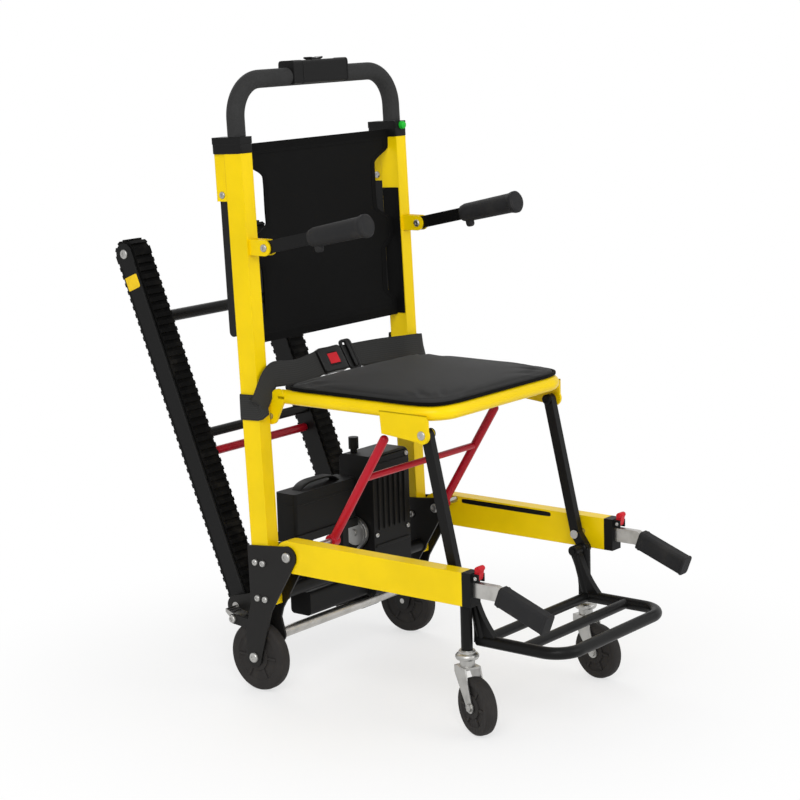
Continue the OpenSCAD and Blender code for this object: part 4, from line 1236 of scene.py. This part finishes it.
@dataclass
class BackSling:
    """Black cloth hung between the posts, hemmed, with a waist and with flaps on the posts."""

    places: Places = Places()
    edge: float = 197.5
    low: float = 468.0
    top: float = 818.0
    waist: float = 43.0
    waist_low: float = 648.0
    waist_high: float = 786.0
    slit: float = 26.0
    slit_low: float = 495.0
    slit_high: float = 620.0
    flap_top: float = 708.0
    flap_half: float = 18.5
    flap_x: Pair = (199.7, 198.2)
    thick: float = 1.8
    hem: float = 0.055
    hem_extra: float = 1.6
    side_hem: float = 0.07
    side_extra: float = 1.2
    sag: float = 2.4
    pull: float = 0.55
    fold: float = 0.5
    seam_up: tuple[float, ...] = (0.95, 0.958, 0.042, 0.05)
    seam_across: Pair = (-0.94, 0.94)

    def half_width(self, up: np.ndarray) -> np.ndarray:
        """Half the cloth's width: straight edges with two smooth bites, each between two heights.

        Args:
            up: Heights along the posts.

        Returns:
            Half widths at those heights.
        """
        width = np.full_like(up, self.edge)
        for depth, low, high in ((self.waist, self.waist_low, self.waist_high),
                                 (self.slit, self.slit_low, self.slit_high)):
            t = np.clip((up - low) / (high - low), 0.0, 1.0)
            bite = np.clip(1.6 * np.sin(math.pi * t), 0.0, 1.0)
            width = width - depth * bite * bite * (3.0 - 2.0 * bite)
        return width

    def surface(self, u: np.ndarray, v: np.ndarray, lift: float) -> np.ndarray:
        """Places on the cloth: a shallow sag to the rear, and soft pulls in from the corners.

        Args:
            u: Share across, from -1 to 1.
            v: Share up, from 0 to 1.
            lift: Distance to the front of the middle surface.

        Returns:
            Places in the chair's frame.
        """
        up = self.low + (self.top - self.low) * v
        x = u * self.half_width(up)
        sag = self.sag * (1.0 - u ** 2) * np.sin(math.pi * v) ** 0.7
        pull = np.sin(7.0 * u + 9.0 * v) * np.abs(u) ** 1.5 * np.sin(math.pi * v) * self.pull
        fold = np.sin(26.0 * v + 3.0 * u) * np.exp(-((np.abs(u) - 0.95) / 0.2) ** 2) * self.fold
        return self.places.on_post(np.stack([x, sag + pull + fold - lift, up], -1))

    def patch(self, u: Pair, v: Pair, thick: float, rows: int, cols: int) -> Shell:
        """Closed piece of the cloth.

        Args:
            u: Shares across at its sides.
            v: Shares up at its foot and its top.
            thick: Its thickness.
            rows: Points up.
            cols: Points across.

        Returns:
            The piece.
        """
        uu, vv = np.meshgrid(np.linspace(*u, cols), np.linspace(*v, rows))
        return Shell.slab(self.surface(uu, vv, thick / 2), self.surface(uu, vv, -thick / 2))

    def hems(self) -> Shell:
        """Thicker strips along the four edges."""
        deep, wide = self.thick + self.hem_extra, self.thick + self.side_extra
        inner = 1.0 - self.side_hem
        return Shell.joined([self.patch((-1, 1), (1.0 - self.hem, 1.0), deep, 8, 80),
                             self.patch((-1, 1), (0.0, self.hem), deep, 8, 80),
                             self.patch((inner, 1.0), (0.0, 1.0), wide, 90, 6),
                             self.patch((-1.0, -inner), (0.0, 1.0), wide, 90, 6)])

    def flaps(self) -> Shell:
        """Cloth that lies on the inner faces of both posts beside the lower half of the back."""
        y, up = np.meshgrid(np.linspace(-self.flap_half, self.flap_half, 10),
                            np.linspace(self.low + 2, self.flap_top, 40))
        wave = 0.25 * np.sin(up / 14.0) * np.cos(y / 9.0)
        shells = []
        for side in Side:
            walls = (np.full_like(y, self.flap_x[0]), self.flap_x[1] + wave)
            outer, inner = (self.places.on_post(np.stack([x * side.value, y, up], -1))
                            for x in walls)
            shells.append(Shell.slab(outer, inner))
        return Shell.joined(shells)

    def seams(self) -> Shell:
        """Stitches along the hems: two rows at the top and the foot, and one at each side."""
        run = np.linspace(-0.92, 0.92, 120)
        rise = np.linspace(0.06, 0.94, 120)
        lift = (self.thick + self.hem_extra) / 2 + 0.1
        lines = [(run, np.full_like(run, v)) for v in self.seam_up]
        lines += [(np.full_like(rise, u), rise) for u in self.seam_across]
        return Shell.joined([stitches(self.surface(u, v, lift), FORWARD) for u, v in lines])

    def build(self, shop: Workshop) -> None:
        """Make the cloth with its hems, flaps and stitching."""
        cloth = self.patch((-1, 1), (0, 1), self.thick, 90, 100)
        back = shop.piece("back_sling", cloth, Coat.BACK, "frame", 60.0)
        hem = shop.piece("back_hems", self.hems(), Coat.HEM, "frame", 50.0)
        flap = shop.piece("back_flaps", self.flaps(), Coat.FLAP, "frame", 50.0)
        sewn = shop.piece("back_stitches", self.seams(), Coat.THREAD, "frame")
        up = np.linspace(self.low, self.top, 400)
        area = float(np.mean(2 * self.half_width(up)) * (self.top - self.low)) * MM * MM
        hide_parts("back_cloth")


@dataclass
class SeatBelt:
    """Lap belt of webbing round the posts, with a push buckle, an adjuster and a spare run."""

    width: float = 46.0
    thick: float = 2.2
    buckle: Triple = (-28.0, 117.0, 580.0)
    buckle_size: Triple = (64.0, 52.0, 16.0)
    tuck: float = 6.0
    lean: float = 60.0
    half_lean: Triple = (0.0, 0.3, 0.95)
    loop_in: float = 197.3
    loop_out: float = 230.7
    loop_front: float = 113.77
    loop_rear: float = 159.17
    low_z: float = 523.0
    slack: float = 12.0
    adjuster_size: Pair = (26.0, 55.0)
    adjuster_at: Pair = (26.0, 2.4)
    bar: Triple = (8.0, 54.0, 7.0)
    bar_up: float = 3.2
    lip: Pair = (30.0, 24.0)
    waisted: float = 0.07

    def leaning(self) -> Triple:
        """Direction of the webbing's width where it leans back."""
        a = math.radians(self.lean)
        return (0.0, math.cos(a), math.sin(a))

    def strip(self, rows: Sequence[tuple[Triple, Triple, float]]) -> Shell:
        """Webbing along corners that are rounded off.

        Args:
            rows: Place, direction of the width, and corner cut, in order.

        Returns:
            The strip with its flat map.
        """
        corners = np.array([list(p) + list(w) for p, w, _ in rows], float)
        path = resampled(rounded_path(corners, np.array([c for _, _, c in rows], float)), 3.0)
        profile = ring_outline(self.width, self.thick, 16, 5.0)
        return Shell.swept(path[:, :3], profile, path[:, 3:])

    def near_run(self) -> Shell:
        """From round the right post, up across its front, to the buckle."""
        half, lean = self.half_lean, self.leaning()
        x, y, z = self.buckle
        return self.strip([
            ((-self.loop_in, self.loop_rear, self.low_z), UPWARD, 5.0),
            ((-self.loop_out, self.loop_rear, self.low_z), UPWARD, 5.0),
            ((-self.loop_out, self.loop_front, self.low_z + 2), UPWARD, 5.0),
            ((-self.loop_in, self.loop_front - 2, z), UPWARD, 30.0),
            ((-self.loop_in * 0.84, y - 4, z - 3), half, 60.0),
            ((-self.loop_in * 0.56, y, z - 9), lean, 60.0),
            ((x - self.buckle_size[0] / 2 + self.tuck, y, z), lean, 5.0)])

    def far_run(self) -> Shell:
        """From the buckle round the left post, where it stands off in a slack loop."""
        half, lean, out = self.half_lean, self.leaning(), self.loop_out
        x, y, z = self.buckle
        return self.strip([
            ((x + self.buckle_size[0] / 2 - self.tuck, y, z), lean, 5.0),
            ((self.loop_in * 0.25, y, z - 1), lean, 60.0),
            ((self.loop_in * 0.6, y - 1, z - 4), half, 60.0),
            ((self.loop_in * 0.85, y - 10, z - 6), UPWARD, 30.0),
            ((self.loop_in, self.loop_front - 8, z - 7), UPWARD, 14.0),
            ((out + self.slack, self.loop_front - 8, z - 12), (-0.34, 0.0, 0.94), 26.0),
            ((out + self.slack * 0.7, self.loop_rear + 6, z - 9), (-0.2, 0.0, 0.98), 26.0),
            ((self.loop_in, self.loop_rear + 3, z - 8), UPWARD, 5.0)])

    def spare_run(self) -> Shell:
        """Second layer that hangs from the adjuster in a slack curve behind the first."""
        half, lean = self.half_lean, self.leaning()
        _, y, z = self.buckle
        return self.strip([
            ((34.0, y + 4, z - 1), lean, 5.0),
            ((64.0, y + 7, z - 5), lean, 40.0),
            ((98.0, y + 8, z - 12), half, 40.0),
            ((128.0, y + 6, z - 10), half, 40.0),
            ((152.0, y + 1, z - 6), (0.0, 0.1, 0.99), 5.0)])

    def laid(self, shell: Shell, at: Triple) -> Shell:
        """Shell laid flat on the leaning webbing at a place."""
        _, across, rise = self.leaning()
        return shell.facing((0.0, -rise, across), self.leaning()).moved(at)

    def adjuster(self) -> Shell:
        """Rounded frame with a middle bar, standing across the webbing."""
        frame = Shell.hoop(self.adjuster_size, 7.0, ring_outline(6.5, 6.0, 10, 3.0))
        bar = Shell.pillow(self.bar, 5.0).moved((0.0, 0.0, self.bar_up))
        x, proud = self.adjuster_at
        return self.laid(frame + bar, (x, self.buckle[1], self.buckle[2] + proud))

    def buckle_shell(self) -> Shell:
        """Rounded case, waisted a little in the middle, with a raised lip round its button."""
        case = Shell.pillow(self.buckle_size, 7.0, 22, 48)
        x = case.points[:, 0] / (self.buckle_size[0] / 2)
        case.points[:, 1] *= 1.0 - self.waisted * (1.0 - x ** 2)
        lip = Shell.hoop(self.lip, 8.0, ring_outline(1.8, 2.2, 8), 40)
        return self.laid(case + lip.moved((0.0, 0.0, self.buckle_size[2] / 2 - 0.1)), self.buckle)

    def build(self, shop: Workshop) -> None:
        """Make the runs, the buckle and the adjuster."""
        runs = (("belt_near_run", self.near_run()), ("belt_far_run", self.far_run()),
                ("belt_spare_run", self.spare_run()))
        for name, shell in runs:
            run = shop.piece(name, shell, Coat.BELT, "frame", 70.0)
            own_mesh(run)
            if name == "belt_near_run":
                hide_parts("seat_belt")
        shop.piece("belt_adjuster", self.adjuster(), Coat.SMOOTH, "seat", 60.0)
        case = shop.piece("belt_buckle_case", self.buckle_shell(), Coat.SMOOTH, "seat", 60.0)
        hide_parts("belt_buckle")


@dataclass
class Screws:
    """Domed socket screws and nuts over the pins and bolts, by radius and height."""

    bolt: Pair = (6.2, 5.2)
    axle: Pair = (9.5, 5.2)
    brake: Pair = (7.4, 5.2)
    rail: Pair = (9.0, 5.0)
    arm: Pair = (7.0, 3.0)
    yoke: Pair = (6.4, 2.8)
    lever: Pair = (3.6, 1.6)
    seat: Pair = (8.0, 2.4)
    cap: Pair = (9.2, 3.0)
    track: Pair = (9.0, 3.0)
    caster: Pair = (7.2, 4.0)
    yoke_at: Pair = (13.0, 732.0)
    arm_x: float = 9.3
    yoke_x: float = 11.3
    seat_x: float = 197.0
    cap_x: float = 170.4
    track_x: Pair = (187.5, 138.5)
    nut_x: float = 16.0

    @staticmethod
    def dome(radius: float, height: float) -> Shell:
        """Head with a socket: a profile from the socket's floor over the dome to the base."""
        shares = ((0.0, 0.5), (0.34, 0.5), (0.4, 0.98), (0.62, 1.0), (0.84, 0.86), (0.97, 0.5),
                  (1.0, 0.0), (0.0, 0.0))
        return Shell.turned([(radius * r, height * h) for r, h in shares], 20)

    @staticmethod
    def nut(radius: float, height: float) -> Shell:
        """Domed nut: six flats under a round cap."""
        shares = ((0.0, 1.5), (0.4, 1.42), (0.66, 1.1), (0.8, 1.0), (1.0, 0.9), (1.0, 0.0),
                  (0.0, 0.0))
        return Shell.turned([(radius * r, height * h) for r, h in shares], 6)

    @staticmethod
    def row(spots: Sequence[Spot]) -> Shell:
        """Heads at places, along axes, with radii and heights."""
        heads = [Screws.dome(r, h).facing(axis).moved(at) for at, axis, r, h in spots]
        return Shell.joined(heads)

    def frame_spots(self, p: Places, side: Side) -> list[Spot]:
        """Heads on one side of the frame.

        Args:
            p: The places.
            side: The side.

        Returns:
            Places, axes, radii and heights.
        """
        s, out, inn = side.value, side.away(), side.away(-1.0)
        skin, plate = s * (p.half_w + p.plate_t), s * (p.inner_x - p.plate_t)
        spots: list[Spot] = []
        for x, axis in ((skin, out), (plate, inn)):
            spots += [((x, *at), axis, *self.bolt) for at in p.post_bolts()]
        for at, head in ((p.rail_rear, self.axle), (p.wheel, self.axle), (p.brake, self.brake)):
            spots.append(((skin, *at), out, *head))
        spots.append(((plate, *p.rail_rear), inn, *self.rail))
        for sign in (1.0, -1.0):
            axis = side.away(sign)
            spots.append(((s * (p.post_x + self.arm_x * sign), *p.arm), axis, *self.arm))
            behind, up = self.yoke_at
            at = (s * (p.post_x + self.yoke_x * sign), p.post_d / 2 + behind, up)
            spots.append((p.on_post(at), axis, *self.yoke))
        return spots

    def build(self, shop: Workshop) -> None:
        """Put heads on the frame, the seat, the rails, the tracks and the casters."""
        p = shop.places
        frame: list[Spot] = []
        seat: list[Spot] = []
        dark: list[Spot] = []
        rails: list[Spot] = []
        tracks: list[Spot] = []
        for side in Side:
            s, out, inn = side.value, side.away(), side.away(-1.0)
            frame += self.frame_spots(p, side)
            seat.append(((s * self.seat_x, *p.seat_front), out, *self.seat))
            dark.append(((s * self.cap_x, *p.seat_front), inn, *self.cap))
            for sign in (1.0, -1.0):
                at = (s * (p.post_x + self.arm_x * sign), *p.lever)
                rails.append((at, side.away(sign), *self.lever))
            for x, axis in zip(self.track_x, (out, inn)):
                tracks.append((p.on_track((s * x, 0.0, p.track_len)), axis, *self.track))
        shop.piece("frame_screws", self.row(frame), Coat.STEEL, "frame")
        shop.piece("seat_screws", self.row(seat), Coat.STEEL, "seat")
        shop.piece("seat_pin_caps", self.row(dark), Coat.PLASTIC, "seat")
        shop.piece("rail_screws", self.row(rails), Coat.STEEL, "rails")
        shop.piece("track_screws", self.row(tracks), Coat.STEEL, "tracks")
        for side in Side:
            self.axle_nuts(shop, side)

    def axle_nuts(self, shop: Workshop, side: Side) -> None:
        """Nuts on both ends of a caster's axle, turned with its swivel."""
        mid, axle = shop.places.caster(side)
        nuts = [self.nut(*self.caster).facing(axle * end).moved(mid + axle * end * self.nut_x)
                for end in (-1, 1)]
        shop.piece(f"{side.word}_caster_nuts", Shell.joined(nuts), Coat.STEEL,
                   f"{side.word}_caster", 30.0)


@dataclass
class Wheels:
    """Raised ribs in the hollows of the four wheels."""

    ribs: int = 6
    width: float = 24.0
    sunk: float = 2.0
    rib: Pair = (5.0, 3.2)
    hub: float = 0.2
    hub_lap: float = 1.0
    rim: float = 0.35

    def spokes(self, diameter: float) -> Shell:
        """Radial ribs on both faces of a wheel that turns about X.

        Args:
            diameter: Diameter of the wheel.

        Returns:
            The ribs about the wheel's middle.
        """
        inner, outer = diameter * self.hub - self.hub_lap, diameter * self.rim
        rib = Shell.pillow((self.rib[0], outer - inner, self.rib[1]), 5.0, 8, 16)
        shells = []
        for side in Side:
            for turn in circle(self.ribs):
                away = np.array([0.0, math.cos(turn), math.sin(turn)])
                face = np.array(side.away(self.width / 2 - self.sunk))
                at = away * (inner + outer) / 2 + face
                shells.append(rib.facing(side.away(), away).moved(at))
        return Shell.joined(shells)

    def build(self, shop: Workshop) -> None:
        """Add the ribs to rear wheels and casters."""
        p = shop.places
        for side in Side:
            rear = self.spokes(p.wheel_d).moved((side.value * p.post_x, *p.wheel))
            shop.piece(f"{side.word}_wheel_ribs", rear, Coat.TYRE, f"{side.word}_rear_wheel")
            mid, axle = p.caster(side)
            front = self.spokes(p.caster_d)
            front.points = front.points @ np.stack([axle, np.cross(UPWARD, axle), UPWARD])
            shop.piece(f"{side.word}_caster_ribs", front.moved(mid), Coat.TYRE,
                       f"{side.word}_caster_wheel")


@dataclass
class RailTrim:
    """Black strips that paint the shade of the guide grooves on the rails, bearing cups on the
    casters, and gussets on the footrest.
    """

    # Size of a flat black strip that paints the shade of a rail's guide groove.
    slot: Triple = (9.0, 205.0, 1.2)
    slot_at: Pair = (-103.0, 283.5)
    slot_sunk: float = 0.3
    cup: tuple[Pair, ...] = ((0.0, 0.0), (14.0, 0.0), (18.5, 1.5), (20.5, 5.0), (20.5, 8.0),
                             (18.0, 11.0), (14.5, 12.5), (14.5, 15.5), (11.5, 16.5), (0.0, 16.5))
    cup_drop: float = 17.5
    gusset_x: float = 158.5
    gusset_t: float = 12.0
    flare: float = -7.0
    gusset: tuple[Pair, ...] = ((-279.0, 232.0), (-299.0, 232.0), (-296.0, 151.0), (-350.0, 151.0))

    def gussets(self) -> Shell:
        """Plates between four corners, by shares of the way between them, with hollow edges."""
        corner = np.array(self.gusset).reshape(2, 2, 2)
        u, v = np.meshgrid(np.linspace(0.0, 1.0, 8), np.linspace(0.0, 1.0, 8))
        across = np.stack([1 - u, u], -1)
        down = np.stack([1 - v, v], -1)
        flat = np.einsum("abi,abj,ijk->abk", down, across, corner)
        flat[..., 0] += self.flare * np.sin(math.pi * v) * (1 - 2 * u)
        plates = []
        for side in Side:
            walls = [side.value * self.gusset_x + e * self.gusset_t / 2 for e in (-1, 1)]
            faces = [np.concatenate([np.full(u.shape + (1,), x), flat], -1) for x in walls]
            plates.append(Shell.slab(faces[0], faces[1]))
        return Shell.joined(plates)

    def build(self, shop: Workshop) -> None:
        """Make the painted groove shade strips, the gussets and the cups of both sides."""
        p = shop.places
        # Flat black strips on the rails' inner faces stand in for the shade in their guide grooves.
        bar = Shell.pillow(self.slot, 8.0, 10, 28)
        groove_shades = [bar.facing(side.away(-1.0), REARWARD)
                 .moved((side.value * (p.inner_x + self.slot_sunk), *self.slot_at))
                 for side in Side]
        shop.piece("rail_slots", Shell.joined(groove_shades), Coat.BLACK, "rails")
        shop.piece("footrest_gussets", self.gussets(), Coat.BLACK, "footrest")
        cup = Shell.turned(self.cup, 40)
        for side in Side:
            at = (side.value * p.stem[0], p.stem[1], p.stem[2] - self.cup_drop)
            shop.piece(f"{side.word}_bearing_cup", cup.moved(at), Coat.STEEL,
                       f"{side.word}_caster")


@dataclass
class TrackTrim:
    """Plain patch on the right track, and lips along the edges of the track cheeks."""

    patch: Triple = (34.0, 26.0, 0.9)
    patch_at: Triple = (-187.8, 2.0, 627.0)
    lip_x: float = 187.6
    lip_at: float = 18.0
    lip: Triple = (3.0, 640.0, 1.8)

    def build(self, shop: Workshop) -> None:
        """Make the patch and the lips."""
        p = shop.places
        up = p.up_at(p.track_tilt)
        patch = Shell.pillow(self.patch, 9.0, 10, 40).facing(Side.RIGHT.away(), up)
        shop.piece("track_patch", patch.moved(p.on_track(self.patch_at)), Coat.PATCH, "tracks")
        lip = Shell.pillow(self.lip, 9.0, 10, 24)
        lips = []
        for side in Side:
            for across in (-self.lip_at, self.lip_at):
                mid = p.on_track((side.value * self.lip_x, across, p.track_len / 2))
                lips.append(lip.facing(side.away(), up).moved(mid))
        shop.piece("track_lips", Shell.joined(lips), Coat.BLACK, "tracks")


@dataclass
class HandleTrim:
    """End plates and seam of the control box, collars on the posts, and a green release."""

    box: Triple = (145.0, 36.0, 41.0)
    box_z: float = 935.0
    plate_t: float = 4.0
    plate_over: float = 1.6
    plate_out: float = 0.4
    seam_x: float = -48.0
    seam_power: float = 0.3
    knob: tuple[Pair, ...] = ((0.0, 9.0), (4.0, 8.8), (6.5, 7.6), (7.4, 5.0), (7.6, 0.0),
                              (0.0, 0.0))
    knob_at: Triple = (2.0, -20.0, 824.0)
    collar: Triple = (31.0, 68.0, 18.0)
    collar_at: Pair = (12.5, 812.0)

    def build(self, shop: Workshop) -> None:
        """Make the plates, the seam, the release button and the collars."""
        p = shop.places
        up = p.up_at(p.post_lean)
        mid = p.on_post((0.0, 0.0, self.box_z))
        long, deep, high = self.box
        plate = Shell.pillow((deep + self.plate_over, high + self.plate_over, self.plate_t),
                             7.0, 12, 44)
        plates = [plate.facing(side.away(), up).moved(mid + side.away(long / 2 + self.plate_out))
                  for side in Side]
        seam = Shell.hoop((deep, high), 2.0 / self.seam_power, ring_outline(2.2, 1.6, 8), 60)
        plates.append(seam.facing(Side.LEFT.away(), up).moved(mid + Side.LEFT.away(self.seam_x)))
        shop.piece("control_plates", Shell.joined(plates), Coat.PLASTIC, "push_handle")
        knob = Shell.turned(self.knob, 28).facing(FORWARD)
        at = p.on_post((p.post_x + self.knob_at[0], *self.knob_at[1:]))
        shop.piece("release_button", knob.moved(at), Coat.GREEN, "frame")
        collar = Shell.pillow(self.collar, 14.0, 14, 48).facing(up, REARWARD)
        collars = [collar.moved(p.on_post((side.value * p.post_x, *self.collar_at)))
                   for side in Side]
        shop.piece("post_collars", Shell.joined(collars), Coat.PLASTIC, "frame")


@dataclass
class GripTrim:
    """Finger stops on the arm grips, end lips on the lift grips and treads on the brakes."""

    stop: Triple = (13.0, 18.0, 15.0)
    stop_at: Pair = (117.0, 18.0)
    rise: float = 12.0
    lip: Pair = (24.4, 33.4)
    lip_power: float = 0.34
    lip_at: Pair = (14.0, 105.6)
    lift_slope: float = 21.0
    lift_knee: Pair = (-383.0, 262.0)
    bar: Triple = (25.0, 4.0, 2.4)
    bars: int = 3
    tread_from: Pair = (0.0, 7.0)
    tread_run: Pair = (22.0, 8.0)
    tread_span: Pair = (0.35, 0.9)

    def build(self, shop: Workshop) -> None:
        """Make the trims of both sides."""
        for side in Side:
            self.finger_stop(shop, side)
            self.lift_lips(shop, side)
            self.brake_tread(shop, side)

    def finger_stop(self, shop: Workshop, side: Side) -> None:
        """Rounded stop at a distance along an arm from its pivot, and below its middle line."""
        a = math.radians(self.rise)
        out = np.array([0.0, -math.cos(a), math.sin(a)])
        under = np.array([0.0, -math.sin(a), -math.cos(a)])
        pivot = np.array([side.value * shop.places.post_x, *shop.places.arm])
        at = pivot + out * self.stop_at[0] + under * self.stop_at[1]
        stop = Shell.pillow(self.stop, 3.0).facing(out)
        shop.piece(f"{side.word}_finger_stop", stop.moved(at), Coat.GRIP, f"{side.word}_arm")

    def lift_lips(self, shop: Workshop, side: Side) -> None:
        """Rounded lips round both ends of a lift grip."""
        slope = math.radians(self.lift_slope)
        out = np.array([0.0, -math.cos(slope), -math.sin(slope)])
        knee = np.array([side.value * shop.places.post_x, *self.lift_knee])
        band = Shell.hoop(self.lip, 2.0 / self.lip_power, ring_outline(5.0, 2.4, 10)).facing(out)
        lips = [band.moved(knee + out * along) for along in self.lip_at]
        shop.piece(f"{side.word}_lift_lips", Shell.joined(lips), Coat.GRIP,
                   f"{side.word}_lift_handle")

    def brake_tread(self, shop: Workshop, side: Side) -> None:
        """Rubber bars across the top of a brake pedal."""
        p = shop.places
        start, run = (np.array([0.0, *v]) for v in (self.tread_from, self.tread_run))
        pivot = np.array([side.value * p.post_x, *p.brake])
        bar = Shell.pillow(self.bar, 4.0, 8, 16)
        shares = np.linspace(*self.tread_span, self.bars)
        bars = [bar.moved(pivot + start + run * t) for t in shares]
        shop.piece(f"{side.word}_brake_tread", Shell.joined(bars), Coat.GRIP,
                   f"{side.word}_brake_pedal")


@dataclass
class DriveTrim:
    """Ribs and screws of the drive housing, and the grip, lid and socket of the battery."""

    house_x: Pair = (34.0, 142.0)
    house_y: float = 79.0
    rib: Triple = (5.0, 6.0, 104.0)
    rib_z: float = 300.0
    ribs: int = 6
    rib_inset: float = 16.0
    band: Triple = (100.0, 4.0, 6.0)
    band_z: Pair = (218.0, 372.0)
    screw: Pair = (4.5, 3.0)
    screw_inset: float = 8.0
    screw_z: Triple = (150.0, 240.0, 380.0)
    battery_x: Pair = (-150.0, 20.0)
    battery_y: Pair = (109.0, 157.0)
    battery_top: float = 352.0
    lid_over: float = 1.6
    lid_t: float = 5.0
    lid_drop: float = 20.0
    strap: Pair = (22.0, 5.0)
    grip_half: float = 55.0
    grip_rise: float = 14.0
    grip_sunk: float = 2.0
    socket_at: Pair = (-100.0, 308.0)
    socket_d: float = 15.0
    socket_bead: Pair = (3.0, 4.6)

    def build(self, shop: Workshop) -> None:
        """Make the housing's and the battery's trims."""
        self.housing(shop)
        self.battery(shop)

    def housing(self, shop: Workshop) -> None:
        """Upright ribs between two bands on the front of the housing, and its screws."""
        low, high = self.house_x
        rib, band = Shell.pillow(self.rib, 7.0, 14, 20), Shell.pillow(self.band, 8.0, 12, 28)
        places = np.linspace(low + self.rib_inset, high - self.rib_inset, self.ribs)
        ribs = [rib.moved((x, self.house_y, self.rib_z)) for x in places]
        ribs += [band.moved(((low + high) / 2, self.house_y, z)) for z in self.band_z]
        shop.piece("housing_ribs", Shell.joined(ribs), Coat.PLASTIC, "frame")
        spots = [((x, self.house_y, z), FORWARD, *self.screw)
                 for x in (low + self.screw_inset, high - self.screw_inset) for z in self.screw_z]
        shop.piece("housing_screws", Screws.row(spots), Coat.STEEL, "frame")

    def battery(self, shop: Workshop) -> None:
        """Strap that rises in a flat arch over the battery, the rim of its lid and its socket."""
        wide, deep = (span[1] - span[0] for span in (self.battery_x, self.battery_y))
        mid_x, mid_y = sum(self.battery_x) / 2, sum(self.battery_y) / 2
        t = np.linspace(-1.0, 1.0, 60)
        arch = self.battery_top + self.grip_rise * (1 - t ** 4) - self.grip_sunk
        grip = np.stack([mid_x + self.grip_half * t, np.full_like(t, mid_y), arch], -1)
        strap = Shell.swept(grip, ring_outline(*self.strap, 14, 3.5), REARWARD)
        lid = Shell.pillow((wide + self.lid_over, deep + self.lid_over, self.lid_t), 9.0, 12, 60)
        case = strap + lid.moved((mid_x, mid_y, self.battery_top - self.lid_drop))
        shop.piece("battery_grip", case, Coat.PLASTIC, "battery")
        bead = ring_outline(*self.socket_bead, 10)
        ring = Shell.hoop((self.socket_d, self.socket_d), 2.0, bead, 40)
        at = (self.socket_at[0], self.battery_y[1], self.socket_at[1])
        shop.piece("charge_socket", ring.facing(REARWARD).moved(at), Coat.STEEL, "battery")


def main() -> None:
    """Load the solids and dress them."""
    logging.basicConfig(level=logging.INFO, format="%(name)s: %(message)s")
    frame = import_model()
    shop = Workshop(frame, Places())
    Studio().build()
    Solids().dress(shop)
    for part in (SeatPad(), BackSling(), SeatBelt(), Screws(), Wheels(), RailTrim(), TrackTrim(),
                 HandleTrim(), GripTrim(), DriveTrim()):
        part.build(shop)
        LOG.info("%s done", type(part).__name__)
    bpy.context.view_layer.update()


if __name__ == "__main__":
    main()
